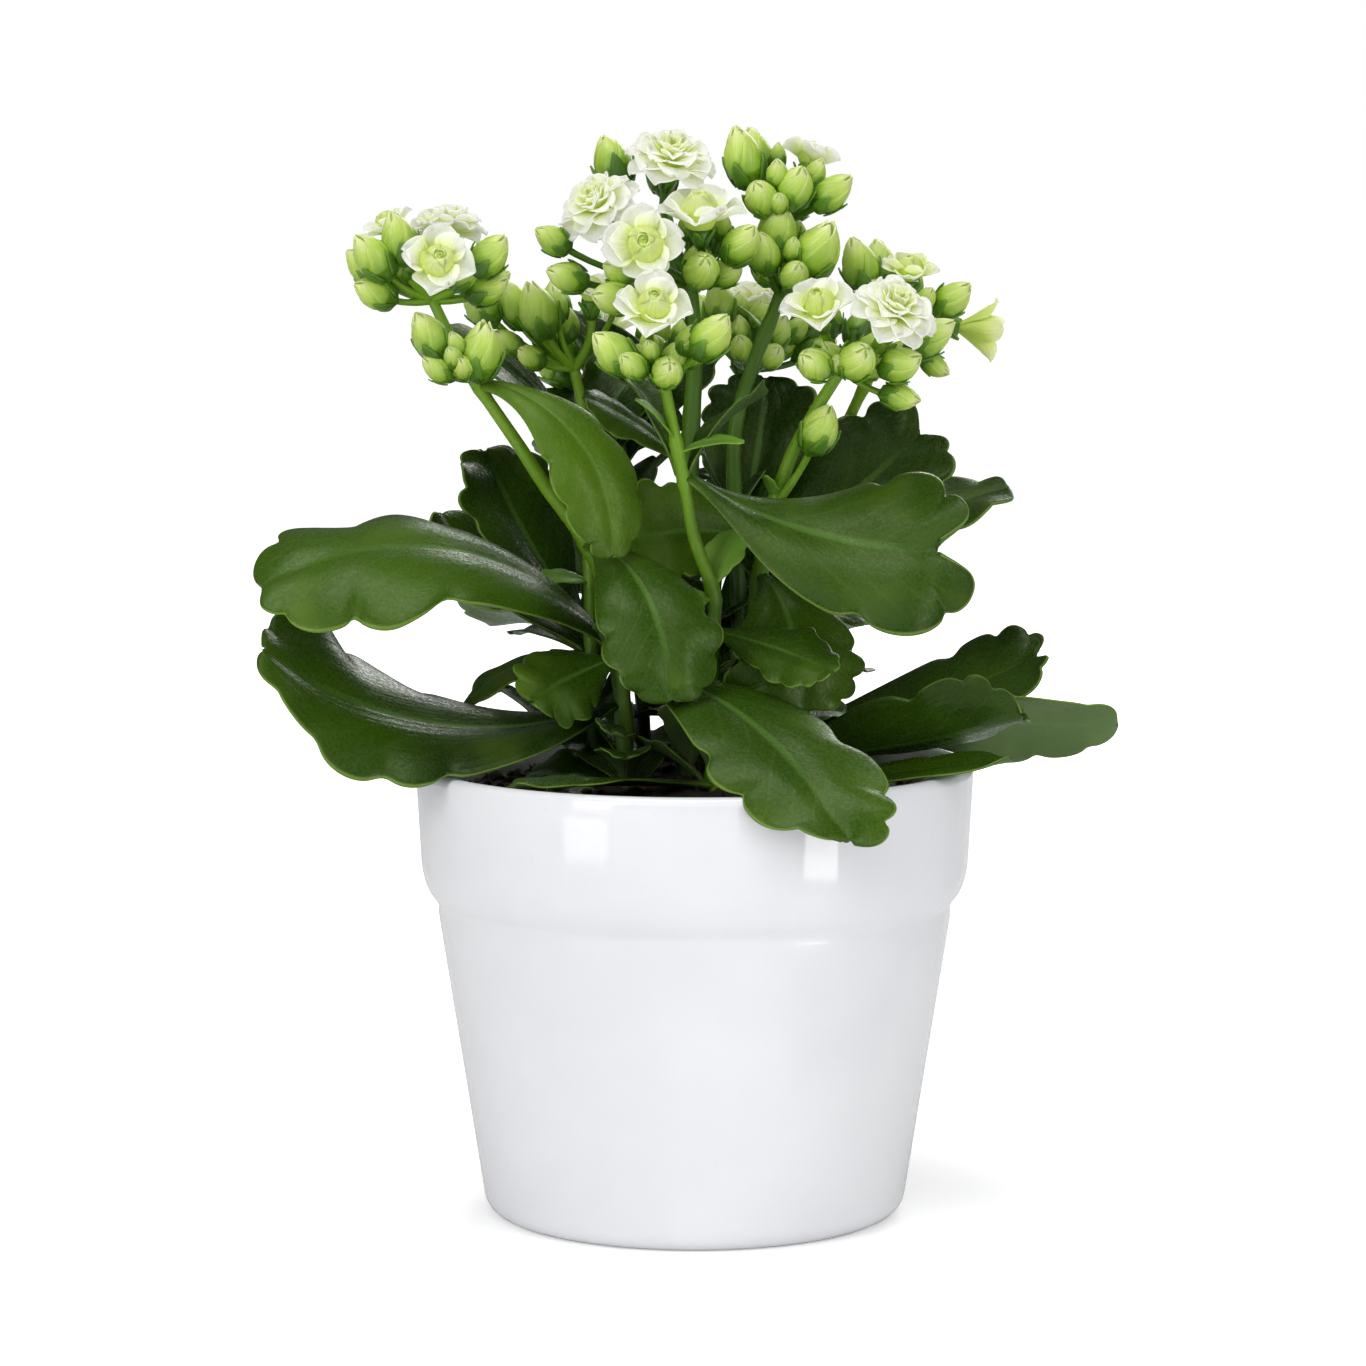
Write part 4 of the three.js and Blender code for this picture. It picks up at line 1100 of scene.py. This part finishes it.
def petalSheet(size, azimuth, tipRadius, tipZ, arch, halfWidth, cup, green, draw, rows, columns, footZ):
    out = around(1, azimuth, 0)
    side = Vector((-sin(azimuth), cos(azimuth), 0))
    foot = (flowerShape["footRadius"], max(0.05, 0.3 * tipZ) if footZ is None else footZ)
    knee = (tipRadius * 0.5, 0.5 * (foot[1] + tipZ) + arch)
    phase, waves = draw.uniform(0, 6.28), draw.uniform(0.8, 1.5)
    roll = draw.uniform(-0.22, 0.22)

    def point(t, c):
        t = 1 - (1 - t) ** 1.35
        at = min(t, 0.99)
        r, dr = curveAt(foot[0], knee[0], tipRadius, at)
        z, dz = curveAt(foot[1], knee[1], tipZ, at)
        long = hypot(dr, dz)
        normal = out * (-dz / long) + up * (dr / long)
        wide = halfWidth * petalWidth(t)
        margin = max(abs(c), smooth(0.6, 1, t)) ** 2
        ripple = flowerShape["margin"] * halfWidth
        ripple *= sin(fullTurn * waves * t + phase + 3.1 * c) * margin
        lift = cup * wide * 2 * c * c + ripple * 2 * t + roll * wide * c
        place = (out * r + up * z + side * (wide * c) + normal * lift) * size
        return place, max(t * (1 - green) - 0.12 * green, 0.02)

    return sheetRows(rows + 1, evenly(columns), point)


# the tight ball of a half-open flower: petals wrapped round each other, their rims curled in
def ballSheets(size, draw):
    s = flowerShape
    count = s["ballPetals"]
    sheets = []
    start = draw.uniform(0, 6.28)
    for k in range(count):
        azimuth = start + k * s["ballTurn"] + draw.uniform(-0.15, 0.15)
        radius = s["ballRadius"] * (1 - 0.9 * k / count)
        top = s["ballHeight"] - 0.006 * abs(k - 3)

        def point(t, c):
            angle = azimuth + c * (1.25 + 0.05 * k)
            rim = 1 - 0.16 * c * c
            curl = 0.76 if k < count - 3 else 0.82
            r = radius * sin(pi * (0.16 + curl * t ** 1.15)) ** 0.62 * (1 + 0.03 * c)
            place = around(r, angle, 0.03 + (top - 0.03) * t * rim)
            return place * size, 0.10 + (0.26 - 0.016 * k) * t ** 2

        sheets.append(sheetRows(9, evenly(9), point))
    # a plug deep in the middle
    rows = []
    for slope in (i * pi / 6.4 for i in range(4)):
        r, z = 0.09 * cos(slope), 0.30 + 0.11 * sin(slope)
        rows.append([(around(r, k * pi / 5, z) * size, (0.5, 0.14), 1.0) for k in range(11)])
    return sheets + [rows]


# flowers that are still opening, and how much greener they are
opening = {"bloom_far_right_2": ("trumpet", 0.0), "bloom_far_right_1": ("half", 0.30),
           "bloom_back_1": ("full", 0.10), "bloom_right_back_1": ("half", 0.12)}


def makeFlower(name, fork, flower, number):
    s = flowerShape
    size = flower[3]
    base, axis, foot = flowerPlace(fork, flower)
    kind, greener = opening.get(name, (kindOf(flower), 0.0))
    rows, columns = (7, 6) if kind == "full" else (9, 8)
    footZ = s["trumpetFoot"] if kind == "trumpet" else None
    draw = random.Random(200 + number)
    sheets = []
    for k, (count, tipRadius, tipZ, arch, halfWidth, cup, green) in enumerate(s[kind]):
        for n in range(count):
            azimuth = fullTurn * (n + 0.5 * (k % 2)) / count + draw.uniform(-0.1, 0.1)
            sheets.append(petalSheet(
                size, azimuth, tipRadius * draw.uniform(0.92, 1.0), tipZ + draw.uniform(-0.03, 0.03),
                arch, halfWidth * draw.uniform(0.9, 1.08), cup * draw.uniform(0.7, 1.3), green + greener,
                draw, rows, columns, footZ))
    if kind == "half":
        sheets += ballSheets(size, draw)
    turn = up.rotation_difference(axis)
    sheets = [[[(base + turn @ place, uv, weight) for place, uv, weight in line] for line in rows]
              for rows in sheets]
    obj = sheetObject(name.replace("bloom_", "flower_"), sheets, s["thickness"], [petalSkin])
    finishPiece(obj, name)


# small leaves where there is room among the large ones: low ones, and taller ones behind
shootThickness = 1.3
shootShape = {
    "low": {"count": 7, "tries": 160, "z": (91, 128), "bearing": (0, 360), "rise": (28, 70),
            "length": (17, 33), "clearance": 2.3},
    "upper": {"count": 3, "tries": 120, "z": (118, 168), "bearing": (-10, 190), "rise": (25, 75),
              "length": (24, 42), "clearance": 2.6},
}
# shoots keep above the rim or inside the mouth of the pot, and near the middle of the plant
shootRoom = {"rimTop": 103, "peatTop": 94, "mouth": 54, "middle": -6, "half": 34, "top": 150}


def pointTree(points):
    tree = kdtree.KDTree(len(points))
    for index, place in enumerate(points):
        tree.insert(place, index)
    tree.balance()
    return tree


def inRoom(p):
    r = shootRoom
    over = p.z > r["rimTop"] or hypot(p.x, p.y) < r["mouth"] and p.z > r["peatTop"]
    return over and abs(p.x - r["middle"]) < r["half"] + 0.5 * max(r["top"] - p.z, 0)


def findShoots(name, number):
    draw = random.Random(300 + number)
    sheets = []
    tree = pointTree(bladePoints)
    for s in shootShape.values():
        found = 0
        top = stalks[name]["route"][-1][2] - 6
        for k in range(s["tries"]):
            if found == s["count"]:
                break
            z, bearing = min(draw.uniform(*s["z"]), top), draw.uniform(*s["bearing"])
            rise, length = draw.uniform(*s["rise"]), draw.uniform(*s["length"])
            fall, halfWidth = rise - draw.uniform(20, 70), length * draw.uniform(0.27, 0.36)
            at, radius = stalkAt(name, z)
            frameAt = midrib(at + towards(bearing, 0) * radius, bearing, rise, fall, length,
                             draw.uniform(-25, 25), 0)
            sheet = bladeSheet(frameAt, length, halfWidth, 24, "oval", 3, radius * 0.6,
                               400 + 20 * number + k, 22, 8, petiole=1.0, wave=0.8)
            points = [place for row in sheet[8:] for place, uv, weight in row[::2]]
            if all(inRoom(p) for p in points) and min(tree.find(p)[2] for p in points) > s["clearance"]:
                found += 1
                sheets.append(sheet)
                bladePoints.extend(place for row in sheet[4:] for place, uv, weight in row)
                tree = pointTree(bladePoints)
    return sheets


def makeShoots(name, number):
    sheets = findShoots(name, number)
    if sheets:
        obj = sheetObject("shoots_" + name, sheets, shootThickness, (leafTop, leafBack))
        finishPiece(obj, "stalk_" + name)


bractThickness = 0.9


def makeBracts(name, number):
    sheets = []
    for k, (z, bearing, rise, fall, length, halfWidth) in enumerate(stalks[name]["bracts"]):
        roll = -24 if 180 < bearing < 300 else 16
        frameAt = midrib(stalkAt(name, z)[0], bearing, rise, fall, length + 1, roll)
        sheets.append(bladeSheet(frameAt, length + 1, halfWidth, 12, "lance", 3, 0,
                                 90 + 10 * number + k, 20, 6, petiole=0.7, wave=0.6))
    return sheetObject("bracts_" + name, sheets, bractThickness, [bractTop])


for number, (name, spec) in enumerate(leaves.items()):
    makeLeaf(name, spec, number)
print("leaves made")

templates = {"bud": budTemplate("closedBud", 1.32, False), "opening": budTemplate("openingBud", 1.30, True),
             "cup": cupTemplate()}
findExtraBuds()
# stalks further back take the darker copy: painted shade
shadedStalks = ("centre", "right_back", "back", "back_left")
for number, name in enumerate(stalks):
    makeShoots(name, number)
    stemSkin = stalkShaded if name in shadedStalks else stalkSkin
    finishPiece(makeStems(name), "stalk_" + name, stemSkin)
    finishPiece(makeBuds(name, templates, number), "stalk_" + name, budSkin)
    finishPiece(makeBracts(name, number), "stalk_" + name)
for template in templates.values():
    bpy.data.objects.remove(template)
print("stalks, buds and bracts made")

number = 0
for name in stalks:
    openFlowers = [(fork, flower) for fork, flower in ownFlowers(name) if isOpen(flower)]
    for count, (fork, flower) in enumerate(openFlowers, 1):
        number += 1
        makeFlower(f"bloom_{name}_{count}", fork, flower, number)
print("flowers made")

studio = {
    "cameraPlace": (-0.0026, -1.056, 0.2346), "cameraPitch": -6.27, "lens": 126.06,
    "world": 0.10, "floor": (0.9, 0.9, 0.9),
    # the floor glows for the camera only, evenly white far off; the glow fades round the foot, centred right
    # of it, so the floor there reads darker: real shadow with painted shade on top
    "floorGlow": (0.38, 1.0), "paintedShadeCentre": (0.014, -0.010, 0), "glowReach": (0.05, 0.17),
    # name, place, aim, width, height, watts
    "lamps": [("leftPanel", (-1.18, -1.34, 0.55), (0, 0, 0.10), 0.56, 1.5, 12),
              ("rightPanel", (1.36, -1.18, 0.55), (0, 0, 0.10), 0.46, 1.5, 9),
              ("frontPanel", (-0.35, -2.1, 1.5), (0, 0, 0.10), 2.4, 1.5, 15),
              ("leftCard", (-0.215, -0.245, 0.042), (0, 0, 0.09), 0.10, 0.05, 0.04),
              ("rightCard", (0.245, -0.215, 0.036), (0, 0, 0.09), 0.08, 0.05, 0.078),
              ("topPanel", (-0.15, -0.2, 1.5), (0, 0, 0.1), 1.1, 0.9, 10),
              ("backPanel", (0.5, 1.3, 0.9), (0, 0, 0.15), 0.9, 0.7, 8)],
}


def cameraRay(tree):
    return tree.nodes.new("ShaderNodeLightPath").outputs["Is Camera Ray"]


def makeStage():
    s = studio
    bpy.ops.object.camera_add(location=s["cameraPlace"],
                              rotation=(radians(90 + s["cameraPitch"]), 0, 0))
    camera = bpy.context.object
    camera.data.sensor_width = 36
    camera.data.lens = s["lens"]
    camera.data.clip_start = 0.01
    scene.camera = camera
    for name, place, aim, width, height, watts in s["lamps"]:
        bpy.ops.object.light_add(type="AREA", location=place)
        lamp = bpy.context.object
        lamp.name = name
        lamp.rotation_euler = (Vector(aim) - Vector(place)).to_track_quat("-Z", "Y").to_euler()
        lamp.data.shape = "RECTANGLE"
        lamp.data.size = width
        lamp.data.size_y = height
        lamp.data.energy = watts
        lamp.visible_camera = False
    world = bpy.data.worlds.new("studio")
    world.use_nodes = True
    tree = world.node_tree
    background = tree.nodes["Background"]
    background.inputs["Color"].default_value = (1, 1, 1, 1)
    link(band(cameraRay(tree), 0, 1, s["world"], 1.0), background.inputs["Strength"])
    scene.world = world
    bpy.ops.mesh.primitive_plane_add(size=30)
    ground = bpy.context.object
    ground.name = "floor"
    material, tree, surface = newMaterial("paleFloor", Roughness=0.7)
    surface.inputs["Base Color"].default_value = (*s["floor"], 1)
    # painted light: a glow that only the camera sees, weaker round the foot and weakest right of it, which
    # paints the floor darker there along with the real shadow
    surface.inputs["Emission Color"].default_value = (1, 1, 1, 1)
    away = vectorNode("DISTANCE", objectPlace(tree))
    away.inputs[1].default_value = s["paintedShadeCentre"]
    glow = band(away.outputs["Value"], *s["glowReach"], *s["floorGlow"])
    link(times(glow, cameraRay(tree)), surface.inputs["Emission Strength"])
    ground.data.materials.append(material)
    scene.view_settings.view_transform = "Standard"


makeStage()
print("stage made")
